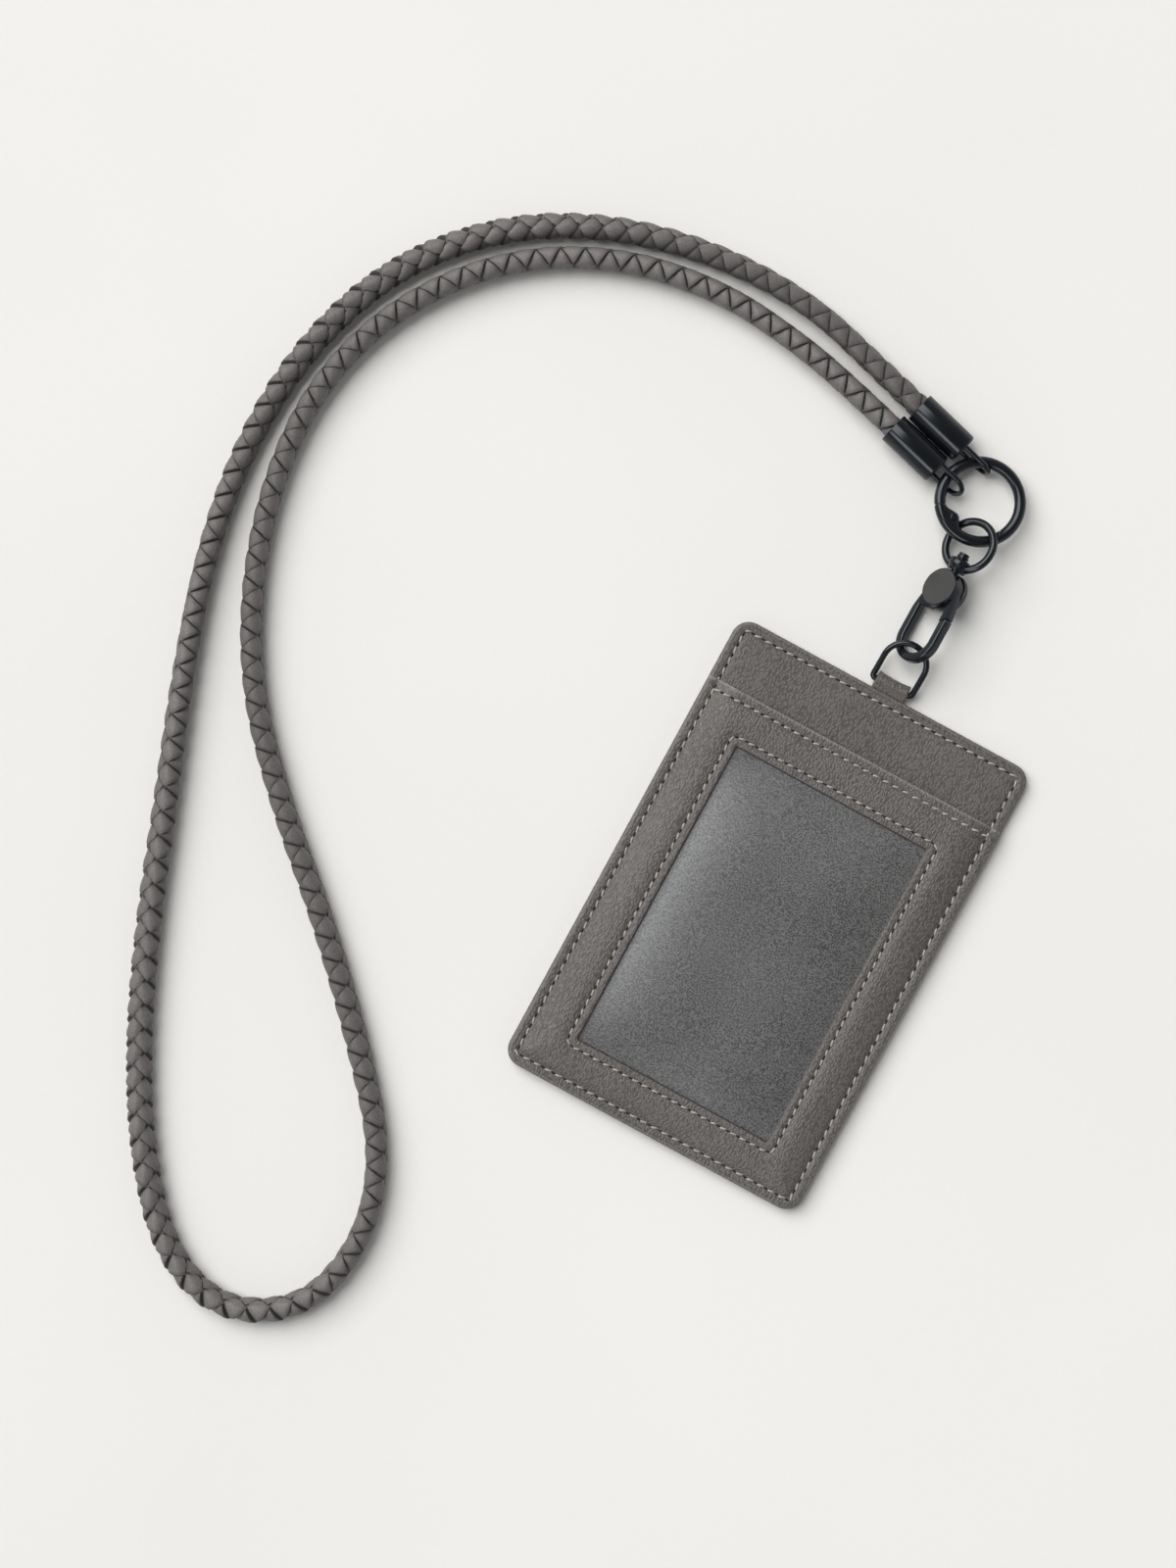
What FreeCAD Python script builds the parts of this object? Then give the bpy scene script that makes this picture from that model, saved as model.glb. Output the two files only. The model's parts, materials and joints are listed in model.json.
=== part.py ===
import FreeCAD, Part
import math
import os
import Sketcher
from FreeCAD import Placement, Rotation, Vector

# An id badge wallet: a sewn leather holder with a window, hung by a tab, a D-ring, a swivel snap
# hook and a round gate ring from a braided neck cord. Millimetres; the wallet lies on its back.
# X runs across the wallet, Y up towards the ring, Z out of the window.

doc = FreeCAD.newDocument("id_badge_wallet")
sheet = doc.addObject("Spreadsheet::Sheet", "sizes")

SIZES = {
    # Wallet panels
    "wallet_width": 74.0,
    "wallet_height": 112.0,
    "wallet_corner": 4.0,
    "back_thickness": 1.6,
    "back_edge_round": 0.5,
    "lining_thickness": 1.0,
    "lining_edge_round": 0.45,
    "board_thickness": 0.8,
    "board_margin": 4.5,
    "board_headroom": 11.0,
    "board_clearance": 0.2,
    # Front pocket with its window
    "pocket_height": 97.0,
    "flange_thickness": 0.8,
    "flange_width": 3.0,
    "flange_edge_round": 0.35,
    "pocket_wall": 1.6,
    "card_room": 1.0,
    "film_thickness": 0.3,
    "film_margin": 4.2,
    "film_lap_share": 0.5,
    "cover_thickness": 1.2,
    "cover_round": 1.0,
    "window_width": 48.3,
    "window_height": 74.2,
    "window_rise": 11.6,
    # Seams
    "seam_inset": 2.4,
    "seam_width": 0.7,
    "seam_height": 0.35,
    "hem_inset": 2.3,
    "window_seam_inset": 1.9,
    # Tab and D-ring
    "tab_width": 7.9,
    "tab_tail": 8.0,
    "tab_thickness": 1.0,
    "tab_wrap": 1.2,
    "bar_reach": 2.1,
    "bar_lift": 2.1,
    "running_gap": 0.05,
    "dring_wire": 1.4,
    "dring_width": 9.9,
    "dring_bend": 0.75,
    "dring_length": 10.6,
    "dring_tilt": 17.0,
    # Swivel snap hook
    "hook_lift": 5.2,
    "hook_roll": 49.0,
    "link_slack": 1.2,
    "link_width": 11.6,
    "link_bar": 2.0,
    "link_thickness": 2.5,
    "link_length": 12.0,
    "link_round": 0.6,
    "drum_diameter": 9.0,
    "disc_thickness": 1.2,
    "disc_round": 0.3,
    "drum_core_diameter": 8.4,
    "gate_eye_diameter": 6.0,
    "gate_reach": 7.9,
    "gate_gap": 0.3,
    "gate_top": 50.0,
    "gate_bottom": 75.0,
    "gate_swing": 25.0,
    "gate_pin_diameter": 2.0,
    "gate_spring_diameter": 3.6,
    "gate_spring_wire": 0.5,
    "gate_spring_height": 1.0,
    # Swivel
    "post_diameter": 2.0,
    "post_head_diameter": 2.8,
    "post_head_height": 1.3,
    "boss_diameter": 4.8,
    "boss_length": 3.0,
    "swivel_gap": 0.25,
    "eye_radius": 5.7,
    "eye_wire": 1.8,
    "eye_roll": 34.0,
    # Round gate ring
    "ring_radius": 9.0,
    "ring_wire": 2.6,
    "ring_left": 2.5,
    "ring_reach": 9.9,
    "ring_lift": 4.05,
    "ring_pitch": 6.2,
    "ring_gate_start": 213.0,
    "ring_gate_end": 322.6,
    "ring_nose": 345.0,
    "ring_gate_gap": 0.3,
    "rivet_angle": 239.5,
    "rivet_radius_in": 1.9,
    "rivet_diameter": 1.2,
    "rivet_head_diameter": 1.7,
    "rivet_head_height": 0.25,
    "lug_diameter": 2.8,
    "lug_height": 2.2,
    "tongue_thickness": 0.7,
    "tongue_diameter": 2.4,
    "ring_spring_height": 0.4,
    "ring_spring_wall": 0.4,
    # End caps with their wire eyes
    "cap_diameter": 7.1,
    "cap_length": 13.7,
    "cap_lift": 3.6,
    "cap_turn": 15.3,
    "cap_bore_depth": 9.0,
    "cap_edge_round": 0.25,
    "cap_eye_wire": 1.2,
    "cap_eye_width": 5.2,
    "cap_eye_inset": 3.0,
    "upper_cap_left": 8.72,
    "upper_cap_up": 8.52,
    "upper_eye_reach": 7.4,
    "upper_eye_roll": 5.0,
    "lower_cap_left": 11.72,
    "lower_cap_up": 1.72,
    "lower_eye_reach": 7.2,
    "lower_eye_roll": 24.0,
    # Neck cord
    "cord_diameter": 5.8,
    "cord_lead": 20.0,
    "cord_floor_gap": 0.05,
    # Overrun of every cut past the face that it starts from
    "cut_overrun": 1.0,
}

# Closest that two places may lie and still count as one
TOUCH = 1e-6
# Share of the shorter run beside a bend of the cord that the bend's arc takes up
BEND_SHARE = 0.45

for row, (alias, number) in enumerate(SIZES.items(), start=1):
    sheet.set(f"A{row}", alias)
    sheet.set(f"B{row}", str(number))
    sheet.setAlias(f"B{row}", alias)
doc.recompute()

# The free stretch of the neck cord, in millimetres, from the upper cap round to the lower one. The
# ends inside the caps are worked out from the caps; the points lie a little outside each bend.
CORD_ROUTE = [
    (-57.0, 124.5),
    (-82.0, 124.0),
    (-106.2, 117.6),
    (-126.4, 105.4),
    (-142.4, 86.6),
    (-151.0, 62.4),
    (-152.4, 36.0),
    (-148.2, 10.0),
    (-139.8, -16.0),
    (-130.2, -41.0),
    (-121.0, -66.0),
    (-110.6, -90.0),
    (-98.0, -112.0),
    (-82.0, -130.2),
    (-64.5, -135.6),
    (-48.6, -126.0),
    (-44.4, -107.0),
    (-50.0, -88.0),
    (-66.0, -69.0),
    (-86.0, -48.6),
    (-107.0, -30.0),
    (-124.8, -11.0),
    (-136.6, 10.6),
    (-143.6, 34.6),
    (-144.4, 58.0),
    (-136.8, 80.8),
    (-120.8, 100.8),
    (-99.6, 113.0),
    (-76.0, 117.4),
    (-54.6, 115.4),
]


def size(alias):
    """Value of one driving dimension."""
    return float(sheet.get(alias))


def value(expression):
    """Number that an expression on the sheet gives."""
    return float(sheet.evalExpression(expression))


def bound(kind, name, **expressions):
    """Document object whose properties follow expressions on the sheet."""
    item = doc.addObject(kind, name)
    for key, expression in expressions.items():
        item.setExpression(key, expression)
    return item


def new_body(label):
    """Empty body that carries the sub-part's name."""
    body = doc.addObject("PartDesign::Body", label)
    body.Label = label
    return body


def sketch_on(body, name, role="XY_Plane", lift=None):
    """Sketch on one of the body's own origin planes, raised by an expression."""
    plane = next(item for item in body.Origin.OriginFeatures if item.Role == role)
    sketch = body.newObject("Sketcher::SketchObject", name)
    sketch.AttachmentSupport = [(plane, "")]
    sketch.MapMode = "FlatFace"
    if lift:
        sketch.setExpression("AttachmentOffset.Base.z", lift)
    return sketch


def pin_point(sketch, geometry, end, x, y):
    """Ties one point of a sketch to expressions for its x and y."""
    for kind, axis, expression in (("DistanceX", -2, x), ("DistanceY", -1, y)):
        number = value(expression)
        if abs(number) < TOUCH:
            sketch.addConstraint(Sketcher.Constraint("PointOnObject", geometry, end, axis))
            continue
        index = sketch.addConstraint(Sketcher.Constraint(kind, -1, 1, geometry, end, number))
        sketch.setExpression(f"Constraints[{index}]", expression)


def outline(sketch, corners):
    """Closed outline of straight sides through corners given as pairs of expressions."""
    first = sketch.GeometryCount
    places = [Vector(value(x), value(y), 0) for x, y in corners]
    count = len(places)
    for i, start in enumerate(places):
        sketch.addGeometry(Part.LineSegment(start, places[(i + 1) % count]))
    for i in range(count):
        after = first + (i + 1) % count
        sketch.addConstraint(Sketcher.Constraint("Coincident", first + i, 2, after, 1))
    for i, (x, y) in enumerate(corners):
        pin_point(sketch, first + i, 1, x, y)


def rectangle(left, bottom, right, top):
    """Corners of a rectangle, anticlockwise."""
    return [(left, bottom), (right, bottom), (right, top), (left, top)]


def pad(body, sketch, length, midplane=False):
    """Pad of a sketch to a bound length."""
    feature = body.newObject("PartDesign::Pad", sketch.Name + "_pad")
    feature.Profile = sketch
    feature.SideType = "Symmetric" if midplane else "One side"
    feature.setExpression("Length", length)
    sketch.Visibility = False
    doc.recompute()
    return feature


def pocket(body, sketch, length, upward=False):
    """Pocket of a sketch to a bound length, checked to remove material."""
    before = body.Shape.Volume
    feature = body.newObject("PartDesign::Pocket", sketch.Name + "_pocket")
    feature.Profile = sketch
    feature.Reversed = upward
    feature.setExpression("Length", length)
    doc.recompute()
    if body.Shape.Volume >= before:
        raise RuntimeError(f"{feature.Name} cut nothing")
    return feature


def round_edges(body, name, radius, wanted):
    """Fillet on the tip's edges that the test picks out."""
    tip = body.Tip
    edges = [f"Edge{i}" for i, edge in enumerate(tip.Shape.Edges, start=1) if wanted(edge)]
    feature = body.newObject("PartDesign::Fillet", name)
    feature.Base = (tip, edges)
    feature.setExpression("Radius", radius)
    doc.recompute()
    return feature


def upright(edge):
    """True for a straight edge along Z."""
    return edge.BoundBox.XLength < TOUCH and edge.BoundBox.YLength < TOUCH


def level(height):
    """Test for edges that lie wholly at one height."""
    def wanted(edge):
        bounds = edge.BoundBox
        return abs(bounds.ZMin - height) < TOUCH and abs(bounds.ZMax - height) < TOUCH
    return wanted


def corner_edges(x_limit, y_limit):
    """Test for upright edges at the corners beyond the given half sizes."""
    def wanted(edge):
        centre = edge.CenterOfMass
        return upright(edge) and abs(centre.x) > x_limit and abs(centre.y) > y_limit
    return wanted


def named(item, label, placement=None):
    """Gives an object its sub-part name and place."""
    item.Label = label
    if placement:
        item.Placement = placement
    return item


def fuse(name, pieces):
    """Union of several objects."""
    item = doc.addObject("Part::MultiFuse", name)
    item.Shapes = pieces
    item.Refine = True
    doc.recompute()
    return item


def cut(name, base, tools):
    """Base with one or more tools taken away."""
    item = doc.addObject("Part::Cut", name)
    item.Base = base
    item.Tool = tools[0] if len(tools) == 1 else fuse(f"{name}_tools", tools)
    item.Refine = True
    doc.recompute()
    return item


def rounded(name, base, radius):
    """Fillet on the two circular edges of a cylinder."""
    doc.recompute()
    item = doc.addObject("Part::Fillet", name)
    item.Base = base
    rims = [i for i, edge in enumerate(base.Shape.Edges, start=1) if edge.Closed]
    item.Edges = [(i, size(radius), size(radius)) for i in rims]
    doc.recompute()
    return item


def softened(name, base, radius, wanted):
    """Fillet on the edges of an object that the test picks out."""
    item = doc.addObject("Part::Fillet", name)
    item.Base = base
    chosen = [i for i, edge in enumerate(base.Shape.Edges, start=1) if wanted(edge)]
    item.Edges = [(i, size(radius), size(radius)) for i in chosen]
    doc.recompute()
    return item


def make_copy(name, source):
    """Second use of one shape in another boolean."""
    item = doc.addObject("Part::Compound", name)
    item.Links = [source]
    doc.recompute()
    return item


def cylinder(name, radius, height, base=(0, 0, 0), rotation=Rotation(), angle=None):
    """Cylinder with bound radius and height."""
    item = bound("Part::Cylinder", name, Radius=radius, Height=height)
    if angle:
        item.setExpression("Angle", angle)
    item.Placement = Placement(Vector(*base), rotation)
    return item


def box(name, length, width, height, base=(0, 0, 0), rotation=Rotation()):
    """Box with bound sides."""
    item = bound("Part::Box", name, Length=length, Width=width, Height=height)
    item.Placement = Placement(Vector(*base), rotation)
    return item


def torus(name, radius, wire, sweep, start=0.0):
    """Ring of round wire about Z, through a sweep in degrees from a start angle."""
    item = bound("Part::Torus", name, Radius1=radius, Radius2=f"{wire} / 2")
    item.Angle3 = sweep
    item.Placement = Placement(Vector(), Rotation(Vector(0, 0, 1), start))
    return item


X_AXIS = Vector(1, 0, 0)
Y_AXIS = Vector(0, 1, 0)
Z_AXIS = Vector(0, 0, 1)
ALONG_Y = Rotation(X_AXIS, -90)
ALONG_X = Rotation(Y_AXIS, 90)

half_width = "sizes.wallet_width / 2"
half_height = "sizes.wallet_height / 2"
pocket_top = "(sizes.pocket_height - sizes.wallet_height / 2)"
stack = "(sizes.back_thickness + sizes.lining_thickness)"


# Wallet panels

def make_back_panel():
    """Back leather, hollowed for the board and slotted at the top edge for the tab."""
    body = new_body("back_panel")
    plate = sketch_on(body, "back_outline")
    outline(plate, rectangle(f"-{half_width}", f"-{half_height}", half_width, half_height))
    pad(body, plate, "sizes.back_thickness")
    limit_x = size("wallet_width") / 2 - size("wallet_corner")
    limit_y = size("wallet_height") / 2 - size("wallet_corner")
    round_edges(body, "back_corners", "sizes.wallet_corner", corner_edges(limit_x, limit_y))
    round_edges(body, "back_edge", "sizes.back_edge_round", level(0.0))
    hollow = sketch_on(body, "board_recess", lift="sizes.back_thickness")
    side = f"({half_width} - sizes.board_margin + sizes.board_clearance)"
    foot = f"-({half_height} - sizes.board_margin + sizes.board_clearance)"
    head = f"({half_height} - sizes.board_headroom + sizes.board_clearance)"
    outline(hollow, rectangle(f"-{side}", foot, side, head))
    pocket(body, hollow, "sizes.board_thickness")
    slot = sketch_on(body, "tab_slot", lift="sizes.back_thickness")
    slot_side = "(sizes.tab_width / 2 + sizes.board_clearance)"
    slot_foot = f"({half_height} - sizes.tab_tail - sizes.board_clearance)"
    outline(slot, rectangle(f"-{slot_side}", slot_foot, slot_side, f"({half_height} + sizes.cut_overrun)"))
    pocket(body, slot, "sizes.tab_thickness")
    return body


def make_stiffener_board():
    """Board that lies in the back panel's hollow."""
    body = new_body("stiffener_board")
    plate = sketch_on(body, "board_outline")
    side = f"({half_width} - sizes.board_margin)"
    foot = f"-({half_height} - sizes.board_margin)"
    head = f"({half_height} - sizes.board_headroom)"
    outline(plate, rectangle(f"-{side}", foot, side, head))
    pad(body, plate, "sizes.board_thickness")
    body.setExpression("Placement.Base.z", "sizes.back_thickness - sizes.board_thickness")
    return body


def make_front_panel():
    """Leather that closes the board in and shows above the pocket."""
    body = new_body("front_panel")
    plate = sketch_on(body, "lining_outline")
    outline(plate, rectangle(f"-{half_width}", f"-{half_height}", half_width, half_height))
    pad(body, plate, "sizes.lining_thickness")
    limit_x = size("wallet_width") / 2 - size("wallet_corner")
    limit_y = size("wallet_height") / 2 - size("wallet_corner")
    round_edges(body, "lining_corners", "sizes.wallet_corner", corner_edges(limit_x, limit_y))

    def head_edge(edge):
        at_top = level(size("lining_thickness"))(edge)
        return at_top and edge.BoundBox.YMax > limit_y and edge.BoundBox.YMin > limit_y - TOUCH
    round_edges(body, "lining_edge", "sizes.lining_edge_round", head_edge)
    body.setExpression("Placement.Base.z", "sizes.back_thickness")
    return body


def make_pocket_frame():
    """Front leather: a sewn flange on three sides, a raised cover, a card room and the window."""
    body = new_body("pocket_frame")
    plate = sketch_on(body, "flange_outline")
    outline(plate, rectangle(f"-{half_width}", f"-{half_height}", half_width, pocket_top))
    pad(body, plate, "sizes.flange_thickness")
    limit_x = size("wallet_width") / 2 - size("wallet_corner")
    low_y = -(size("wallet_height") / 2 - size("wallet_corner"))

    def foot_corner(edge):
        centre = edge.CenterOfMass
        return upright(edge) and abs(centre.x) > limit_x and centre.y < low_y
    round_edges(body, "flange_corners", "sizes.wallet_corner", foot_corner)

    def rim_edge(edge):
        top = level(size("flange_thickness"))(edge)
        at_side = abs(edge.CenterOfMass.x) > limit_x
        at_foot = edge.CenterOfMass.y < low_y
        return top and (at_side or at_foot)
    round_edges(body, "flange_edge", "sizes.flange_edge_round", rim_edge)
    cover_height = "(sizes.card_room + sizes.film_thickness + sizes.cover_thickness)"
    side = f"({half_width} - sizes.flange_width)"
    foot = f"-({half_height} - sizes.flange_width)"
    cover = sketch_on(body, "cover_outline")
    outline(cover, rectangle(f"-{side}", foot, side, pocket_top))
    pad(body, cover, cover_height)
    top_height = value(cover_height)

    def cover_edge(edge):
        return level(top_height)(edge) and edge.Length > size("window_width")
    round_edges(body, "cover_edge", "sizes.cover_round", cover_edge)
    room = sketch_on(body, "card_room_outline")
    room_side = f"({half_width} - sizes.flange_width - sizes.pocket_wall)"
    room_foot = f"-({half_height} - sizes.flange_width - sizes.pocket_wall)"
    room_head = f"({pocket_top} + sizes.cut_overrun)"
    outline(room, rectangle(f"-{room_side}", room_foot, room_side, room_head))
    pocket(body, room, "sizes.card_room + sizes.film_thickness", upward=True)
    window = sketch_on(body, "window_outline")
    window_side = "sizes.window_width / 2"
    window_foot = f"(sizes.window_rise - {half_height})"
    window_head = f"(sizes.window_rise + sizes.window_height - {half_height})"
    outline(window, rectangle(f"-{window_side}", window_foot, window_side, window_head))
    pocket(body, window, f"{cover_height} + sizes.cut_overrun", upward=True)
    body.setExpression("Placement.Base.z", stack)
    return body


def make_window_film():
    """Frosted film behind the window; its sides lap a share of the way to the card room's sides."""
    body = new_body("window_film")
    plate = sketch_on(body, "film_outline")
    room_side = f"({half_width} - sizes.flange_width - sizes.pocket_wall)"
    lap = f"({room_side} - sizes.window_width / 2) * sizes.film_lap_share"
    side = f"(sizes.window_width / 2 + {lap})"
    foot = f"(sizes.window_rise - {half_height} - sizes.film_margin)"
    head = f"(sizes.window_rise + sizes.window_height - {half_height} + sizes.film_margin)"
    outline(plate, rectangle(f"-{side}", foot, side, head))
    pad(body, plate, "sizes.film_thickness")
    body.setExpression("Placement.Base.z", f"{stack} + sizes.card_room")
    return body


def make_seam(label, lift, outer, inner=None):
    """Band of thread: one outline, or the room between two nested ones."""
    body = new_body(label)
    band = sketch_on(body, f"{label}_band")
    outline(band, outer)
    if inner:
        outline(band, inner)
    pad(body, band, "sizes.seam_height")
    body.setExpression("Placement.Base.z", lift)
    return body


def make_seams():
    """Thread of the pocket's rim, the header's rim, the pocket's hem and the window."""
    half_seam = "sizes.seam_width / 2"
    out_x = f"({half_width} - sizes.seam_inset + {half_seam})"
    in_x = f"({half_width} - sizes.seam_inset - {half_seam})"
    out_y = f"({half_height} - sizes.seam_inset + {half_seam})"
    in_y = f"({half_height} - sizes.seam_inset - {half_seam})"
    pocket_run = [(f"-{out_x}", pocket_top), (f"-{out_x}", f"-{out_y}"), (out_x, f"-{out_y}"),
                  (out_x, pocket_top), (in_x, pocket_top), (in_x, f"-{in_y}"),
                  (f"-{in_x}", f"-{in_y}"), (f"-{in_x}", pocket_top)]
    make_seam("pocket_rim_thread", f"{stack} + sizes.flange_thickness", pocket_run)
    header_foot = f"({pocket_top} + sizes.seam_width)"
    header_run = [(out_x, header_foot), (out_x, out_y), (f"-{out_x}", out_y),
                  (f"-{out_x}", header_foot), (f"-{in_x}", header_foot), (f"-{in_x}", in_y),
                  (in_x, in_y), (in_x, header_foot)]
    make_seam("header_rim_thread", stack, header_run)
    cover_top = f"{stack} + sizes.card_room + sizes.film_thickness + sizes.cover_thickness"
    hem_x = f"({half_width} - sizes.flange_width - sizes.cover_round - {half_seam})"
    hem_y = f"({pocket_top} - sizes.hem_inset)"
    hem = rectangle(f"-{hem_x}", f"({hem_y} - {half_seam})", hem_x, f"({hem_y} + {half_seam})")
    make_seam("hem_thread", cover_top, hem)
    foot = f"(sizes.window_rise - {half_height})"
    head = f"(sizes.window_rise + sizes.window_height - {half_height})"

    def ring(inset):
        side = f"(sizes.window_width / 2 + {inset})"
        return rectangle(f"-{side}", f"({foot} - {inset})", side, f"({head} + {inset})")
    outer = ring(f"(sizes.window_seam_inset + {half_seam})")
    inner = ring(f"(sizes.window_seam_inset - {half_seam})")
    make_seam("window_thread", cover_top, outer, inner)


def make_ring_tab():
    """Leather strip folded round the D-ring's bar, its tail between the panels."""
    tail_foot = size("back_thickness") - size("tab_thickness")
    tail_head = size("back_thickness")
    edge_y = size("wallet_height") / 2
    bar = Vector(edge_y + size("bar_reach"), size("bar_lift"), 0)
    bore_radius = size("dring_wire") / 2 + size("running_gap")
    wrap = bore_radius + size("tab_wrap")
    low = Vector(edge_y, tail_foot, 0)
    high = Vector(edge_y, tail_head, 0)

    def touch(corner, side):
        away = corner - bar
        lean = math.atan2(away.y, away.x) + side * math.acos(wrap / away.Length)
        return bar + Vector(math.cos(lean), math.sin(lean), 0) * wrap
    under = touch(low, 1)
    over = touch(high, -1)
    crest = bar + Vector(wrap, 0, 0)
    start = Vector(edge_y - size("tab_tail"), tail_foot, 0)
    finish = Vector(edge_y - size("tab_tail"), tail_head, 0)
    edges = [Part.LineSegment(start, low), Part.LineSegment(low, under), Part.Arc(under, crest, over),
             Part.LineSegment(over, high), Part.LineSegment(high, finish), Part.LineSegment(finish, start)]
    profile = Part.Face(Part.Wire([edge.toShape() for edge in edges]))
    bore = Part.makeCylinder(bore_radius, size("tab_width"), bar)
    tab = doc.addObject("Part::Feature", "ring_tab")
    tab.Shape = profile.extrude(Vector(0, 0, size("tab_width"))).cut(bore)
    turn = Rotation(Y_AXIS, Z_AXIS, X_AXIS, "ZXY")
    return named(tab, "ring_tab", Placement(Vector(-size("tab_width") / 2, 0, 0), turn))


# D-ring, lifted about its bar so that its arch passes through the hook

bar_place = Vector(0, size("wallet_height") / 2 + size("bar_reach"), size("bar_lift"))
dring_turn = Rotation(X_AXIS, size("dring_tilt"))


def make_d_ring():
    """Bent wire: a straight bar, two short bends, two legs and a half-round arch."""
    leg_x = size("dring_width") / 2
    bend = size("dring_bend")
    arch_y = size("dring_length") - leg_x
    wire = "sizes.dring_wire / 2"
    pieces = [cylinder("dring_bar", wire, "sizes.dring_width - 2 * sizes.dring_bend",
                       (bend - leg_x, 0, 0), ALONG_X)]
    leg_length = "sizes.dring_length - sizes.dring_width / 2 - sizes.dring_bend"
    for name, side, start in (("left", -1, 180), ("right", 1, 270)):
        leg = cylinder(f"dring_{name}_leg", wire, leg_length, (side * leg_x, bend, 0), ALONG_Y)
        elbow = torus(f"dring_{name}_bend", "sizes.dring_bend", "sizes.dring_wire", 90, start)
        elbow.Placement.Base = Vector(side * (leg_x - bend), bend, 0)
        pieces += [leg, elbow]
    arch = torus("dring_arch", "sizes.dring_width / 2", "sizes.dring_wire", 180)
    arch.Placement.Base = Vector(0, arch_y, 0)
    pieces.append(arch)
    return named(fuse("dring_wire_form", pieces), "d_ring", Placement(bar_place, dring_turn))


# Swivel snap hook, drawn flat about the middle of its drum and then rolled on its side

link_inner = size("link_width") / 2 - size("link_bar")
apex_place = bar_place + dring_turn.multVec(Vector(0, size("dring_length"), 0))
bend_y = apex_place.y - size("dring_wire") / 2 - size("link_slack") + link_inner
drum_place = Vector(0, bend_y + size("link_length"), size("hook_lift"))
hook_turn = Rotation(Y_AXIS, -size("hook_roll"))
hook_frame_place = Placement(drum_place, hook_turn)
link_floor = -size("link_thickness") / 2
gate_floor = link_floor + size("running_gap")
gate_height = "sizes.link_thickness - 2 * sizes.running_gap"


def make_link_blank():
    """Whole closed link before it is parted into frame and gate."""
    link_half = "sizes.link_width / 2"
    core = "sizes.drum_core_diameter / 2"
    sketch = doc.addObject("Sketcher::SketchObject", "link_taper")
    shoulder = "-(sizes.gate_reach - sizes.gate_gap)"
    outline(sketch, [(f"-{link_half}", "-sizes.link_length"), (link_half, "-sizes.link_length"),
                     (link_half, shoulder), (core, "0"), (f"-{core}", "0"), (f"-{link_half}", shoulder)])
    plate = doc.addObject("Part::Extrusion", "link_plate")
    plate.Base = sketch
    plate.DirMode = "Normal"
    plate.setExpression("LengthFwd", "sizes.link_thickness")
    plate.Solid = True
    plate.Symmetric = True
    bend_base = (0, -size("link_length"), link_floor)
    bend = cylinder("link_bend", link_half, "sizes.link_thickness", bend_base)
    drum = cylinder("link_drum", core, "sizes.link_thickness", (0, 0, link_floor))
    inner = f"({link_half} - sizes.link_bar)"
    deep = "sizes.link_thickness + 2 * sizes.cut_overrun"
    low = link_floor - size("cut_overrun")
    hole = cylinder("link_hole_bend", inner, deep, (0, -size("link_length"), low))
    slot = box("link_hole", f"2 * {inner}", "sizes.link_length - sizes.drum_diameter / 2 - sizes.gate_gap",
               deep, (-link_inner, -size("link_length"), low))
    return cut("link_blank", fuse("link_outer", [plate, bend, drum]), [hole, slot])


def turned(name, radius, height, floor, start, sweep):
    """Sector of a disc about the drum's axis, from a start angle through a sweep."""
    return cylinder(name, radius, height, (0, 0, floor), Rotation(Z_AXIS, start), sweep)


def bend_edge(edge):
    """True for the rounded rims of the link's end bend."""
    low = edge.CenterOfMass.y < -size("link_length")
    return low and abs(abs(edge.CenterOfMass.z) - size("link_thickness") / 2) < TOUCH


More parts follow.
